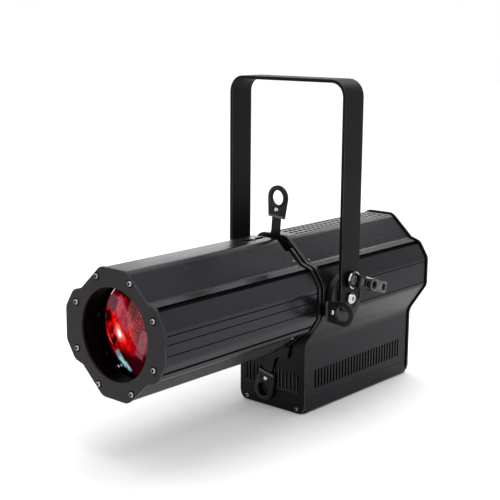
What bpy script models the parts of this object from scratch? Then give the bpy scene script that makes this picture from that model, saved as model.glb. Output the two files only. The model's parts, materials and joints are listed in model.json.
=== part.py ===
"""A stage profile spotlight: lens tube, four framing shutters, lamp housing and tilting yoke.

Units are metres and +Z is up. The lens looks along -Y. The origin is the centre of the
housing's flat base, and the optical axis is parallel to Y at AXIS_HEIGHT above it.
"""

from math import acos, cos, pi, radians, sin, tan

import bmesh
import bpy
from mathutils import Matrix, Vector

MM = 0.001
GAP = 0.3 * MM                    # air left between pieces that touch

# Driving dimensions
AXIS_HEIGHT = 160 * MM            # optical axis above the base
FRONT_TO_ORIGIN = 406.5 * MM      # front face of the lens tube to the origin
SEAM_FRONT = 272.3                # distances in mm behind the front face
SEAM_REAR = 286.7
TUBE_PLATE_REAR = 276.5
HOUSING_PLATE_FRONT = 281.5
TOTAL_LENGTH = 530.0
END_PLATE = 3.0                   # thickness of the front and rear plates
PIVOT_DISTANCE = 322.0            # tilt axis, behind the front face
SHEET_INSET = 1.0 * MM            # the shells stand back this far from the end plates
SHELL_WALL = 3.0 * MM
BOX_HALF_WIDTH = 55.5 * MM
COVER_SEAM = -140 * MM            # the bottom cover's top edge, from the axis
YOKE_HALF_WIDTH = 96.5 * MM
YOKE_TOP = 281 * MM               # above the axis
STRAP_WIDTH = 38.5 * MM
STRAP_THICKNESS = 4.5 * MM
CLAMP_RADIUS = 25 * MM            # clamp stud's circle about the tilt axis
TILT_BACK = radians(95)           # yoke's travel each way from upright
TILT_FORWARD = radians(45)
BLADE_THICKNESS = 1.0 * MM
BLADE_HALF_WIDTH = 28 * MM
BLADE_LENGTH = 79.5 * MM          # inner edge to the grip
GATE_RADIUS = 36 * MM
APERTURE_RADIUS = 55.5 * MM
FRONT_LENS_RADIUS = 59.5 * MM
REAR_LENS_RADIUS = 52 * MM

# Corners of the upper right outline: x and z from the axis, corner radius, arc steps
LOBE = [(21.5, 77.5, 14, 3), (55.2, 46.4, 5, 2)]
WIDE_GROOVE = [(66.6, 43.2, 0, 0), (64.6, 40.2, 0, 0), (68.4, 37.6, 0, 0), (70.4, 40.6, 0, 0)]
PLAIN_SHOULDER = [(69.5, 42.4, 12, 3)]
SIDE_CORNER = [(83.5, 20.5, 14, 3)]
THIN_GROOVE = [(76.6, 31.3, 0, 0), (75.2, 30.6, 0, 0), (74.1, 32.3, 0, 0), (75.4, 33.2, 0, 0)]
WAIST = [(83.5, -20.5, 14, 3), (55.5, -62.2, 26, 4)]


def along(distance):
    """The y of a place this many mm behind the front face."""
    return distance * MM - FRONT_TO_ORIGIN


# ---------------------------------------------------------------- scene and materials

for old in list(bpy.data.objects):
    bpy.data.objects.remove(old)

PARTS = bpy.data.collections.new("profile_spotlight")
CUTTERS = bpy.data.collections.new("cutters")
bpy.context.scene.collection.children.link(PARTS)
bpy.context.scene.collection.children.link(CUTTERS)


def material(name, colour, roughness, metallic):
    made = bpy.data.materials.new(name)
    made.use_nodes = True
    shader = made.node_tree.nodes["Principled BSDF"]
    shader.inputs["Base Color"].default_value = (*colour, 1)
    shader.inputs["Roughness"].default_value = roughness
    shader.inputs["Metallic"].default_value = metallic
    return made


ANODISED = material("anodised_black", (0.030, 0.031, 0.034), 0.38, 0.6)
FRONT_GREY = material("front_grey", (0.055, 0.050, 0.052), 0.45, 0.4)
POWDER_BLACK = material("powder_black", (0.018, 0.018, 0.019), 0.55, 0.1)
BLACK_PLASTIC = material("black_plastic", (0.015, 0.015, 0.016), 0.45, 0.0)
BLADE_STEEL = material("blade_steel", (0.060, 0.050, 0.044), 0.35, 0.9)
BRIGHT_STEEL = material("bright_steel", (0.62, 0.61, 0.60), 0.25, 1.0)
BARE_ALUMINIUM = material("bare_aluminium", (0.55, 0.56, 0.57), 0.35, 1.0)
LENS_GLASS = material("lens_glass", (0.90, 0.35, 0.33), 0.05, 0.0)
PHOSPHOR = material("led_red", (0.9, 0.05, 0.04), 0.4, 0.0)
BOARD_GREEN = material("board_green", (0.02, 0.12, 0.05), 0.5, 0.0)
DISPLAY = material("display_black", (0.01, 0.012, 0.015), 0.1, 0.0)


# ---------------------------------------------------------------- modelling helpers

def keep(obj, name, mat):
    """Names a finished solid, gives it its material and files it with the parts."""
    obj.name = name
    obj.data.name = name
    obj.data.materials.clear()
    obj.data.materials.append(mat)
    for collection in list(obj.users_collection):
        collection.objects.unlink(obj)
    PARTS.objects.link(obj)
    obj.data.shade_smooth()
    obj.data.set_sharp_from_angle(angle=radians(32))
    return obj


def as_cutter(obj, name):
    obj.name = name
    for collection in list(obj.users_collection):
        collection.objects.unlink(obj)
    CUTTERS.objects.link(obj)
    obj.hide_render = True
    obj.display_type = "WIRE"
    return obj


def combine(target, other, operation):
    """A Boolean of the target with another closed mesh, which becomes a cutter."""
    as_cutter(other, target.name + "_" + operation.lower())
    boolean = target.modifiers.new(other.name, "BOOLEAN")
    boolean.operation = operation
    boolean.object = other
    return target


def cut(target, other):
    return combine(target, other, "DIFFERENCE")


def join(target, other):
    return combine(target, other, "UNION")


def from_bmesh(bm):
    mesh = bpy.data.meshes.new("mesh")
    bm.to_mesh(mesh)
    bm.free()
    obj = bpy.data.objects.new("solid", mesh)
    bpy.context.scene.collection.objects.link(obj)
    return obj


def boxes(spans):
    """Separate boxes in one mesh, each given by its lowest and highest corners."""
    bm = bmesh.new()
    for low, high in spans:
        size = Vector(high) - Vector(low)
        middle = (Vector(high) + Vector(low)) / 2
        place = Matrix.Translation(middle) @ Matrix.Diagonal((*size, 1))
        bmesh.ops.create_cube(bm, size=1, matrix=place)
    return from_bmesh(bm)


TURN = {
    "x": Matrix.Rotation(radians(90), 4, "Y"),
    "y": Matrix.Rotation(radians(-90), 4, "X"),
    "z": Matrix.Identity(4),
}


def cylinders(axis, places, radius, length, sides=16):
    """Separate cylinders in one mesh, centred on the places, lying along the axis."""
    bm = bmesh.new()
    for place in places:
        matrix = Matrix.Translation(Vector(place)) @ TURN[axis]
        bmesh.ops.create_cone(bm, cap_ends=True, segments=sides, radius1=radius,
                              radius2=radius, depth=length, matrix=matrix)
    return from_bmesh(bm)


def turned(axis, place, profile, sides=24):
    """A solid of revolution; the profile runs from top to bottom as (radius, height)."""
    bm = bmesh.new()
    points = [bm.verts.new((radius, 0, height)) for radius, height in profile]
    for first, second in zip(points, points[1:]):
        bm.edges.new((first, second))
    if profile[0][0] > 0:
        bm.edges.new((points[-1], points[0]))
    obj = from_bmesh(bm)
    screw = obj.modifiers.new("turn", "SCREW")
    screw.steps = sides
    screw.render_steps = sides
    screw.use_merge_vertices = True
    screw.merge_threshold = 0.00001
    obj.matrix_world = Matrix.Translation(Vector(place)) @ TURN[axis]
    return obj


def offset(corners, distance):
    """Moves a clockwise outline outwards; distance in mm, negative for inwards."""
    count = len(corners)
    moved = []
    for index, (x, z, radius, steps) in enumerate(corners):
        before = corners[index - 1]
        after = corners[(index + 1) % count]
        into = Vector((x - before[0], z - before[1])).normalized()
        out_of = Vector((after[0] - x, after[1] - z)).normalized()
        normal_in = Vector((-into.y, into.x))
        normal_out = Vector((-out_of.y, out_of.x))
        shift = (normal_in + normal_out) * distance / (1 + normal_in.dot(normal_out))
        convex = into.cross(out_of) < 0
        new_radius = radius + distance if convex else radius - distance
        moved.append((x + shift.x, z + shift.y, max(new_radius, 0) if radius else 0, steps))
    return moved


def rounded(corners):
    """The outline's points in metres, with an arc at each corner that has a radius."""
    points = []
    count = len(corners)
    for index, (x, z, radius, steps) in enumerate(corners):
        corner = Vector((x, z))
        before = corners[index - 1]
        after = corners[(index + 1) % count]
        into = (corner - Vector(before[:2])).normalized()
        out_of = (Vector(after[:2]) - corner).normalized()
        turn = acos(max(-1, min(1, into.dot(out_of))))
        if radius <= 0 or steps == 0 or turn < 0.01:
            points.append(corner * MM)
            continue
        reach = radius * tan(turn / 2)
        side = 1 if into.cross(out_of) > 0 else -1
        centre = corner - into * reach + Vector((-into.y, into.x)) * side * radius
        start = corner - into * reach - centre
        for step in range(steps + 1):
            angle = side * turn * step / steps
            spun = Vector((start.x * cos(angle) - start.y * sin(angle),
                           start.x * sin(angle) + start.y * cos(angle)))
            points.append((centre + spun) * MM)
    return points


def arc(centre, radius, start, end, steps):
    """Points from the start angle to the end angle, both in radians."""
    points = []
    for step in range(steps + 1):
        angle = start + (end - start) * step / steps
        points.append(Vector((centre[0] + radius * cos(angle), centre[1] + radius * sin(angle))))
    return points


def circle(centre, radius, sides):
    return arc(centre, radius, 0, 2 * pi, sides)[:-1]


PLANES = {
    "xz": Matrix.Rotation(radians(90), 4, "X"),
    "yz": Matrix.Rotation(radians(90), 4, "Z") @ Matrix.Rotation(radians(90), 4, "X"),
    "xy": Matrix.Identity(4),
}


def plate(plane, loops, thickness, middle):
    """A flat outline with holes, extruded both ways from the plane through middle."""
    curve = bpy.data.curves.new("outline", "CURVE")
    curve.dimensions = "2D"
    curve.fill_mode = "BOTH"
    curve.extrude = thickness / 2
    for loop in loops:
        spline = curve.splines.new("POLY")
        spline.points.add(len(loop) - 1)
        for point, place in zip(spline.points, loop):
            point.co = (place[0], place[1], 0, 1)
        spline.use_cyclic_u = True
    drawn = bpy.data.objects.new("outline", curve)
    bpy.context.scene.collection.objects.link(drawn)
    drawn.matrix_world = Matrix.Translation(Vector(middle)) @ PLANES[plane]
    bpy.context.view_layer.update()
    graph = bpy.context.evaluated_depsgraph_get()
    mesh = bpy.data.meshes.new_from_object(drawn.evaluated_get(graph))
    bm = bmesh.new()
    bm.from_mesh(mesh)
    bmesh.ops.remove_doubles(bm, verts=bm.verts, dist=0.000001)
    bm.to_mesh(mesh)
    bm.free()
    obj = bpy.data.objects.new("plate", mesh)
    bpy.context.scene.collection.objects.link(obj)
    obj.matrix_world = drawn.matrix_world.copy()
    bpy.data.objects.remove(drawn)
    return obj


def between(plane, loops, start, end):
    """A plate in the xz plane that fills the stretch from start to end, in mm behind the front."""
    middle = (0, (along(start) + along(end)) / 2, AXIS_HEIGHT)
    return plate(plane, loops, (end - start) * MM, middle)


def mirrored_x(right):
    """Closes a right-hand run of corners, top to bottom, with its mirror image."""
    return right + [(-x, z, radius, steps) for x, z, radius, steps in reversed(right)]


def below(upper):
    return [(x, -z, radius, steps) for x, z, radius, steps in reversed(upper)]


# ---------------------------------------------------------------- outlines

SMOOTH_UPPER = LOBE + PLAIN_SHOULDER + SIDE_CORNER
GROOVED_UPPER = LOBE + WIDE_GROOVE + SIDE_CORNER
LOWER_TUBE = below(LOBE + PLAIN_SHOULDER + THIN_GROOVE[::-1] + SIDE_CORNER)
TUBE_OUTLINE = mirrored_x(GROOVED_UPPER + LOWER_TUBE)
PLATE_OUTLINE = mirrored_x(SMOOTH_UPPER + below(SMOOTH_UPPER))


def keyhole(upper, bottom, corner_radius):
    """The housing's outline: lobed above, straight-sided box below."""
    foot = [(BOX_HALF_WIDTH / MM, bottom / MM, corner_radius, 3)]
    return mirrored_x(upper + WAIST + foot)


HOUSING_PLATE = keyhole(SMOOTH_UPPER, -AXIS_HEIGHT, 12)


def pan_profile(corners, wall):
    """An open channel's cross-section: the outline out and back, both ends cut level."""
    outer = rounded(corners)
    inner = rounded(offset(corners, -wall / MM))
    inner[0].y = outer[0].y
    inner[-1].y = outer[-1].y
    return outer + inner[::-1]


# ---------------------------------------------------------------- lens tube

SCREW_CIRCLE = 70.4 * MM
SCREW_ANGLES = [radians(23.5 + 90 * quarter + side)
                for quarter in range(4) for side in (0, 43)]
SCREW_PLACES = [(SCREW_CIRCLE * cos(angle), SCREW_CIRCLE * sin(angle)) for angle in SCREW_ANGLES]


def front_plate():
    loops = [rounded(PLATE_OUTLINE), circle((0, 0), APERTURE_RADIUS, 48)]
    loops += [circle(place, 2.3 * MM, 10) for place in SCREW_PLACES]
    keep(between("xz", loops, 0, END_PLATE), "front_plate", FRONT_GREY)


def front_screws():
    """Button-head screws through the front plate, into channels in the tube."""
    for number, (x, z) in enumerate(SCREW_PLACES, 1):
        profile = [(0, 9), (1.9, 9), (1.9, -0.3), (3.7, -0.3), (3.5, -1.3), (2.2, -2.3),
                   (1.3, -2.3), (1.3, -1.2), (0, -1.2)]
        profile = [(radius * MM, height * MM) for radius, height in profile]
        screw = turned("y", (x, along(0), AXIS_HEIGHT + z), profile, 12)
        keep(screw, f"front_screw_{number}", BRIGHT_STEEL)


NOTCH_FRONT = 263
NOTCH_HALF_WIDTH = 36.4 * MM
NOTCH_INNER = 58 * MM
TOP_SLOT = (226, 261)             # zoom guide slot, mm behind the front
FOCUS_SLOT = (38, 98)
ZOOM_SLOT = (228, 266)
SLOT_HALF_WIDTH = 3.6 * MM


def notches():
    """Clearance above and below for the shoulders of the top and bottom shutters."""
    start, end, reach = along(NOTCH_FRONT), along(279), 90 * MM
    spans = []
    for low, high in ((NOTCH_INNER, reach), (-reach, -NOTCH_INNER)):
        spans.append(((-NOTCH_HALF_WIDTH, start, AXIS_HEIGHT + low),
                      (NOTCH_HALF_WIDTH, end, AXIS_HEIGHT + high)))
    return boxes(spans)


def lens_tube():
    wall = SHELL_WALL / MM
    outer = offset(TUBE_OUTLINE, -SHEET_INSET / MM)
    loops = [rounded(outer), rounded(offset(outer, -wall))]
    tube = between("xz", loops, END_PLATE + GAP / MM, SEAM_FRONT - GAP / MM)
    tube = keep(tube, "lens_tube", ANODISED)
    cut(tube, notches())
    channels = [(x, along(8), AXIS_HEIGHT + z) for x, z in SCREW_PLACES]
    cut(tube, cylinders("y", channels, 2.3 * MM, 12 * MM, 10))
    top = AXIS_HEIGHT + 70 * MM
    spans = [((-4.5 * MM, along(TOP_SLOT[0]), top), (4.5 * MM, along(TOP_SLOT[1]), top + 20 * MM))]
    for start, end in (FOCUS_SLOT, ZOOM_SLOT):
        spans.append(((-95 * MM, along(start), AXIS_HEIGHT - SLOT_HALF_WIDTH),
                      (-75 * MM, along(end), AXIS_HEIGHT + SLOT_HALF_WIDTH)))
    cut(tube, boxes(spans))


def barrel_liner():
    """Ribbed baffle ring behind the front aperture."""
    profile = [(59 * MM, 22 * MM), (59 * MM, 0), (57 * MM, 0)]
    for rib in range(3):
        start = (2 + 6 * rib) * MM
        profile += [(57 * MM, start + 1.6 * MM), (56.2 * MM, start + 2.1 * MM),
                    (56.2 * MM, start + 2.9 * MM), (57 * MM, start + 3.4 * MM)]
    profile += [(57 * MM, 22 * MM)]
    liner = turned("y", (0, along(3.3), AXIS_HEIGHT), profile, 28)
    keep(liner, "barrel_liner", BLACK_PLASTIC)


def lens(name, distance, radius, edge, front_bulge, rear_bulge, mat):
    """A turned lens; distance is its front rim, and both faces are parts of spheres."""
    def face(bulge, height):
        sphere = (radius ** 2 + bulge ** 2) / (2 * bulge)
        rings = [radius * step / 3 for step in range(4)]
        return [(ring, height + (sphere ** 2 - ring ** 2) ** 0.5 - sphere + bulge)
                for ring in rings]
    rear = face(rear_bulge, edge)
    front = [(ring, -height) for ring, height in reversed(face(front_bulge, 0))]
    made = turned("y", (0, along(distance), AXIS_HEIGHT), rear + front, 24)
    return keep(made, name, mat)


LENS_EDGE = 6 * MM
FRONT_LENS_AT = 39.0
REAR_LENS_AT = 231.0


def carrier(name, distance, lens_radius, seat_depth, screw_lug):
    """A ring that holds a lens in a stepped seat, with a lug for its locking knob."""
    depth = 17 * MM
    seat = lens_radius + GAP
    bore = lens_radius - 2 * MM
    outer = 66 * MM
    profile = [(outer, depth), (outer, 0), (seat, 0), (seat, seat_depth),
               (bore, seat_depth), (bore, depth)]
    ring = turned("y", (0, along(distance), AXIS_HEIGHT), profile, 32)
    keep(ring, name, BLACK_PLASTIC)
    lug_y = along(distance) + 3 * MM
    lugs = [((-76 * MM, lug_y, AXIS_HEIGHT - 8 * MM), (-62 * MM, lug_y + 12 * MM, AXIS_HEIGHT + 8 * MM))]
    if screw_lug:
        lugs.append(((-7 * MM, lug_y, AXIS_HEIGHT + 62 * MM), (7 * MM, lug_y + 12 * MM, AXIS_HEIGHT + 70 * MM)))
    join(ring, boxes(lugs))
    hole = (-72 * MM, lug_y + 6 * MM, AXIS_HEIGHT)
    cut(ring, cylinders("x", [hole], 2.4 * MM, 16 * MM, 12))
    if screw_lug:
        hole = (0, lug_y + 6 * MM, AXIS_HEIGHT + 70 * MM)
        cut(ring, cylinders("z", [hole], 2.1 * MM, 10 * MM, 12))
    return ring


def locking_knob(name, distance):
    """A fluted thumb knob outside the tube, with its screw through the slot into a lug."""
    y = along(distance) + 9 * MM
    profile = [(0, 26), (6.5, 26), (8, 24.5), (8, 12), (6, 10.5), (6, 8.2), (2.1, 8.2),
               (2.1, -11), (0, -11)]
    profile = [(radius * MM, height * MM) for radius, height in profile]
    knob = turned("x", (-75 * MM, y, AXIS_HEIGHT), profile, 20)
    knob.rotation_euler = (0, radians(-90), 0)
    keep(knob, name, BLACK_PLASTIC)
    flutes = []
    for step in range(10):
        angle = 2 * pi * step / 10
        flutes.append((-93 * MM, y + 8.6 * MM * cos(angle), AXIS_HEIGHT + 8.6 * MM * sin(angle)))
    cut(knob, cylinders("x", flutes, 1.4 * MM, 13 * MM, 8))


def focus_and_zoom():
    lens("front_lens", FRONT_LENS_AT, FRONT_LENS_RADIUS, LENS_EDGE, 7 * MM, 4 * MM, LENS_GLASS)
    carrier("front_lens_carrier", FRONT_LENS_AT, FRONT_LENS_RADIUS, LENS_EDGE + 2 * GAP, False)
    rim = [(65, 2.4), (65, 0), (57.5, 0), (57.5, 2.4)]
    profile = [(radius * MM, height * MM) for radius, height in rim]
    ring = turned("y", (0, along(FRONT_LENS_AT - 3.1), AXIS_HEIGHT), profile, 32)
    keep(ring, "front_lens_ring", POWDER_BLACK)
    locking_knob("focus_knob", FRONT_LENS_AT)
    lens("rear_lens", REAR_LENS_AT, REAR_LENS_RADIUS, LENS_EDGE, 6 * MM, 3 * MM, LENS_GLASS)
    carrier("rear_lens_carrier", REAR_LENS_AT, REAR_LENS_RADIUS, LENS_EDGE + 2 * GAP, True)
    locking_knob("zoom_knob", REAR_LENS_AT)
    profile = [(0, 10.5), (1.2, 10.5), (1.2, 12), (2.6, 12), (3.6, 10.8), (3.6, 8.8), (1.8, 8.8),
               (1.8, -2), (0, -2)]
    profile = [(radius * MM, height * MM) for radius, height in profile]
    place = (0, along(REAR_LENS_AT) + 9 * MM, AXIS_HEIGHT + 67.5 * MM)
    keep(turned("z", place, profile, 14), "zoom_guide_screw", BRIGHT_STEEL)


def tube_rear_plate():
    """The plate that closes the tube, with pressed-in posts that hold the shutter gap open."""
    loops = [rounded(offset(PLATE_OUTLINE, 1)), circle((0, 0), 44 * MM, 36)]
    made = between("xz", loops, SEAM_FRONT, TUBE_PLATE_REAR)
    made = keep(made, "tube_rear_plate", ANODISED)
    cut(made, notches())
    posts = []
    middle = (along(TUBE_PLATE_REAR) + along(HOUSING_PLATE_FRONT)) / 2
    for x in (-43.5, 43.5):
        for z in (-50, 50):
            posts.append((x * MM, middle - 1 * MM, AXIS_HEIGHT + z * MM))
    height = (HOUSING_PLATE_FRONT - TUBE_PLATE_REAR) * MM + 2 * MM - 2 * GAP
    join(made, cylinders("y", posts, 3.5 * MM, height, 12))


# ---------------------------------------------------------------- framing shutters

STEM_HALF_WIDTH = 7.5 * MM
STEM_LENGTH = 18 * MM
FLARE = 10 * MM
STEM_IN_GRIP = 16 * MM
GRIP_THICKNESS = 3.6 * MM
GRIP_HOLE = 26.5 * MM             # the finger hole's centre, from the grip's inner edge
GRIP_HOLE_RADIUS = 9.75 * MM
GRIP_RADIUS = 16 * MM
GRIP_FOOT = 13.2 * MM


def blade_outline():
    """Half outline up one side and down the other: wide leaf, concave flare, stem."""
    leaf = BLADE_LENGTH - STEM_LENGTH - FLARE
    side = [(BLADE_HALF_WIDTH, 0), (BLADE_HALF_WIDTH, leaf - 4 * MM)]
    side.append((BLADE_HALF_WIDTH - 4 * MM, leaf))
    for step in range(5):
        turn = radians(90) * step / 4
        side.append((STEM_HALF_WIDTH + FLARE * (1 - sin(turn)), leaf + FLARE * (1 - cos(turn))))
    side.append((STEM_HALF_WIDTH, BLADE_LENGTH + STEM_IN_GRIP))
    return [Vector((-x, z)) for x, z in side] + [Vector(point) for point in reversed(side)]


def grip_outline():
    """Straight foot, sides that widen to a round head."""
    head = arc((0, GRIP_HOLE), GRIP_RADIUS, radians(186), radians(-6), 16)
    return [Vector((-GRIP_FOOT, 0))] + head + [Vector((GRIP_FOOT, 0))]


def shutter(side, turn, plane, inner_edge, sideways):
    """A steel blade with a two-sided grip. turn spins its outward direction from +Z about Y."""
    slide = bpy.data.objects.new(f"{side}_shutter_slide", None)
    PARTS.objects.link(slide)
    frame = Matrix.Translation((0, along(plane), AXIS_HEIGHT)) @ Matrix.Rotation(turn, 4, "Y")
    slide.matrix_world = frame @ Matrix.Translation((sideways, 0, inner_edge))
    bpy.context.view_layer.update()

    blade = keep(plate("xz", [blade_outline()], BLADE_THICKNESS, (0, 0, 0)),
                 f"{side}_shutter_blade", BLADE_STEEL)
    loops = [grip_outline(), circle((0, GRIP_HOLE), GRIP_HOLE_RADIUS, 20)]
    grip = keep(plate("xz", loops, GRIP_THICKNESS, (0, 0, BLADE_LENGTH)),
                f"{side}_shutter_grip", BLACK_PLASTIC)
    half = BLADE_THICKNESS / 2 + GAP
    width = STEM_HALF_WIDTH + GAP
    pocket = boxes([((-width, -half, BLADE_LENGTH - 5 * MM),
                     (width, half, BLADE_LENGTH + STEM_IN_GRIP + GAP))])
    cut(grip, pocket)
    for piece in (blade, grip, pocket):
        piece.matrix_world = slide.matrix_world @ piece.matrix_world
        place = piece.matrix_world.copy()
        piece.parent = slide
        piece.matrix_world = place


UPRIGHT_PLANE = 278.2             # the two pairs of blades slide in planes of their own
LEVEL_PLANE = 279.8


def shutters():
    shutter("top", radians(4.5), UPRIGHT_PLANE, 22.2 * MM, 0)
    shutter("bottom", radians(192.5), UPRIGHT_PLANE, 29.5 * MM, -19.5 * MM)
    shutter("right", radians(90), LEVEL_PLANE, 11.5 * MM, 9.6 * MM)
    shutter("left", radians(-90), LEVEL_PLANE, 11.5 * MM, -9.6 * MM)


# ---------------------------------------------------------------- lamp housing

FRONT_VENTS = 15
SIDE_VENTS = 30
VENT_WIDTH = 2.8 * MM
WINDOW = (305, 513)               # the top grille's window, mm behind the front
WINDOW_HALF_WIDTH = 20.5 * MM
BOLT_HOLE = 4.3 * MM


def housing_front_plate():
    loops = [rounded(offset(HOUSING_PLATE, 1)), circle((0, 0), GATE_RADIUS, 36)]
    loops[0] = [Vector((point.x, max(point.y, -AXIS_HEIGHT))) for point in loops[0]]
    pitch = 6.36 * MM
    for number in range(FRONT_VENTS):
        x = (number - (FRONT_VENTS - 1) / 2) * pitch
        half = VENT_WIDTH / 2
        low, high = -131.5 * MM, -104.5 * MM
        loops.append([Vector((x - half, low)), Vector((x + half, low)),
                      Vector((x + half, high)), Vector((x - half, high))])
    keep(between("xz", loops, HOUSING_PLATE_FRONT, SEAM_REAR), "housing_front_plate", ANODISED)


def lamp_housing():
    """One sheet-walled channel, open below, between the two end plates."""
    right = GROOVED_UPPER + WAIST + [(BOX_HALF_WIDTH / MM, (COVER_SEAM - SHEET_INSET) / MM, 0, 0)]
    outline = offset(mirrored_x(right), -SHEET_INSET / MM)
    outline = outline[len(right):] + outline[:len(right)]
    shell = between("xz", [pan_profile(outline, SHELL_WALL)], SEAM_REAR + GAP / MM,
                    TOTAL_LENGTH - END_PLATE - GAP / MM)
    shell = keep(shell, "lamp_housing", ANODISED)
    spans = []
    for number in range(SIDE_VENTS):
        y = along(307 + 6.8 * number)
        spans.append(((-90 * MM, y - VENT_WIDTH / 2, AXIS_HEIGHT - 129 * MM),
                      (90 * MM, y + VENT_WIDTH / 2, AXIS_HEIGHT - 103 * MM)))
    window = ((-WINDOW_HALF_WIDTH, along(WINDOW[0]), AXIS_HEIGHT + 65 * MM),
              (WINDOW_HALF_WIDTH, along(WINDOW[1]), AXIS_HEIGHT + 90 * MM))
    cut(shell, boxes(spans + [window]))
    bolt = (0, along(PIVOT_DISTANCE), AXIS_HEIGHT)
    cut(shell, cylinders("x", [bolt], BOLT_HOLE, 190 * MM, 16))


def top_grille():
    """Perforated insert, flush in the window on top of the housing."""
    rows, columns, pitch, hole = 4, 21, 9.6 * MM, 6.6 * MM
    half_width = WINDOW_HALF_WIDTH - GAP
    half_length = (WINDOW[1] - WINDOW[0]) / 2 * MM - GAP
    loops = [[Vector((-half_width, -half_length)), Vector((half_width, -half_length)),
              Vector((half_width, half_length)), Vector((-half_width, half_length))]]
    for row in range(rows):
        for column in range(columns):
            x = (row - (rows - 1) / 2) * pitch
            y = (column - (columns - 1) / 2) * pitch
            half = hole / 2
            loops.append([Vector((x - half, y - half)), Vector((x + half, y - half)),
                          Vector((x + half, y + half)), Vector((x - half, y + half))])
    top = AXIS_HEIGHT + 77.5 * MM - SHEET_INSET
    middle = (0, along((WINDOW[0] + WINDOW[1]) / 2), top - 1.2 * MM)
    keep(plate("xy", loops, 1.6 * MM, middle), "top_grille", ANODISED)


def bottom_cover():
    """U-shaped pan that closes the box from below."""
    half = (BOX_HALF_WIDTH - SHEET_INSET) / MM
    top = (COVER_SEAM - GAP) / MM
    low = -AXIS_HEIGHT / MM
    wall = 2
    outer = [(-half, top, 0, 0), (-half, low, 3, 2), (half, low, 3, 2), (half, top, 0, 0)]
    inner = [(half - wall, top, 0, 0), (half - wall, low + wall, 1, 2),
             (wall - half, low + wall, 1, 2), (wall - half, top, 0, 0)]
    pan = between("xz", [rounded(outer) + rounded(inner)], SEAM_REAR + GAP / MM,
                  TOTAL_LENGTH - END_PLATE - GAP / MM)
    keep(pan, "bottom_cover", POWDER_BLACK)


SOCKET_HEIGHT = -128 * MM
SOCKET_PLACES = {"data_in_socket": -39.6, "data_out_socket": -13.2,
                 "power_in_socket": 13.2, "power_out_socket": 39.6}
BUTTON_HEIGHT = -93 * MM
BUTTON_PITCH = 15 * MM
BUTTON_RADIUS = 3.6 * MM
DISPLAY_HEIGHT = -72 * MM
DISPLAY_HALF = (25 * MM, 8 * MM)


def button_places():
    return [((number - 1.5) * BUTTON_PITCH, BUTTON_HEIGHT) for number in range(4)]


def housing_rear_plate():
    """Rear plate with the fan's louvres, a display window, button holes and socket cut-outs."""
    loops = [rounded(offset(HOUSING_PLATE, 1))]
    loops[0] = [Vector((point.x, max(point.y, -AXIS_HEIGHT))) for point in loops[0]]
    for place in button_places():
        loops.append(circle(place, BUTTON_RADIUS + GAP, 12))
    for x in SOCKET_PLACES.values():
        loops.append(circle((x * MM, SOCKET_HEIGHT), 11.8 * MM, 20))
    width, height = DISPLAY_HALF
    loops.append([Vector((sx * width, DISPLAY_HEIGHT + sz * height))
                  for sx, sz in ((-1, -1), (1, -1), (1, 1), (-1, 1))])
    for number in range(9):
        z = (number - 4) * 9 * MM + 4 * MM
        half = (44 ** 2 - ((number - 4) * 9) ** 2) ** 0.5 * MM
        for side in (-1, 1):
            loops.append([Vector((side * 2.5 * MM, z - 2 * MM)), Vector((side * half, z - 2 * MM)),
                          Vector((side * half, z + 2 * MM)), Vector((side * 2.5 * MM, z + 2 * MM))])
    made = between("xz", loops, TOTAL_LENGTH - END_PLATE, TOTAL_LENGTH)
    keep(made, "housing_rear_plate", ANODISED)


def menu_buttons():
    for number, (x, z) in enumerate(button_places(), 1):
        profile = [(0, 2.2), (2.9, 2.2), (3.6, 1.6), (3.6, -3.4), (4.8, -3.4), (4.8, -4.6), (0, -4.6)]
        profile = [(radius * MM, height * MM) for radius, height in profile]
        button = turned("y", (x, along(TOTAL_LENGTH), AXIS_HEIGHT + z), profile, 16)
        keep(button, f"menu_button_{number}", BLACK_PLASTIC)


def display_window():
    width, height = DISPLAY_HALF
    middle = (0, along(TOTAL_LENGTH - 1.8), AXIS_HEIGHT + DISPLAY_HEIGHT)
    low = Vector(middle) - Vector((width - GAP, 1.2 * MM, height - GAP))
    high = Vector(middle) + Vector((width - GAP, 1.2 * MM, height - GAP))
    window = boxes([(low, high)])
    bevel = window.modifiers.new("edge", "BEVEL")
    bevel.width = 0.5 * MM
    bevel.segments = 1
    keep(window, "display_window", DISPLAY)


def sockets():
    """Square-flanged panel sockets: recessed cups, except for the flat-faced data outlet."""
    for name, x in SOCKET_PLACES.items():
        place = (x * MM, along(TOTAL_LENGTH), AXIS_HEIGHT + SOCKET_HEIGHT)
        corners = [(-12.6, -15, 2.5, 2), (-12.6, 15, 2.5, 2), (12.6, 15, 2.5, 2), (12.6, -15, 2.5, 2)]
        flange = plate("xz", [rounded(corners)], 2.2 * MM,
                       (place[0], place[1] + 1.4 * MM, place[2]))
        socket = keep(flange, name, BLACK_PLASTIC)
        body = cylinders("y", [(place[0], place[1] - 8.5 * MM, place[2])], 11.4 * MM, 21 * MM, 20)
        join(socket, body)
        if name == "data_out_socket":
            pins = []
            for angle in (90, 210, 330):
                pins.append((place[0] + 3.6 * MM * cos(radians(angle)), place[1] + 2.5 * MM,
                             place[2] + 3.6 * MM * sin(radians(angle))))
            cut(socket, cylinders("y", pins, 1.3 * MM, 14 * MM, 8))
        else:
            radius = 8.6 * MM if name == "data_in_socket" else 9.4 * MM
            cut(socket, cylinders("y", [(place[0], place[1] - 2 * MM, place[2])], radius, 14 * MM, 20))


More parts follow.
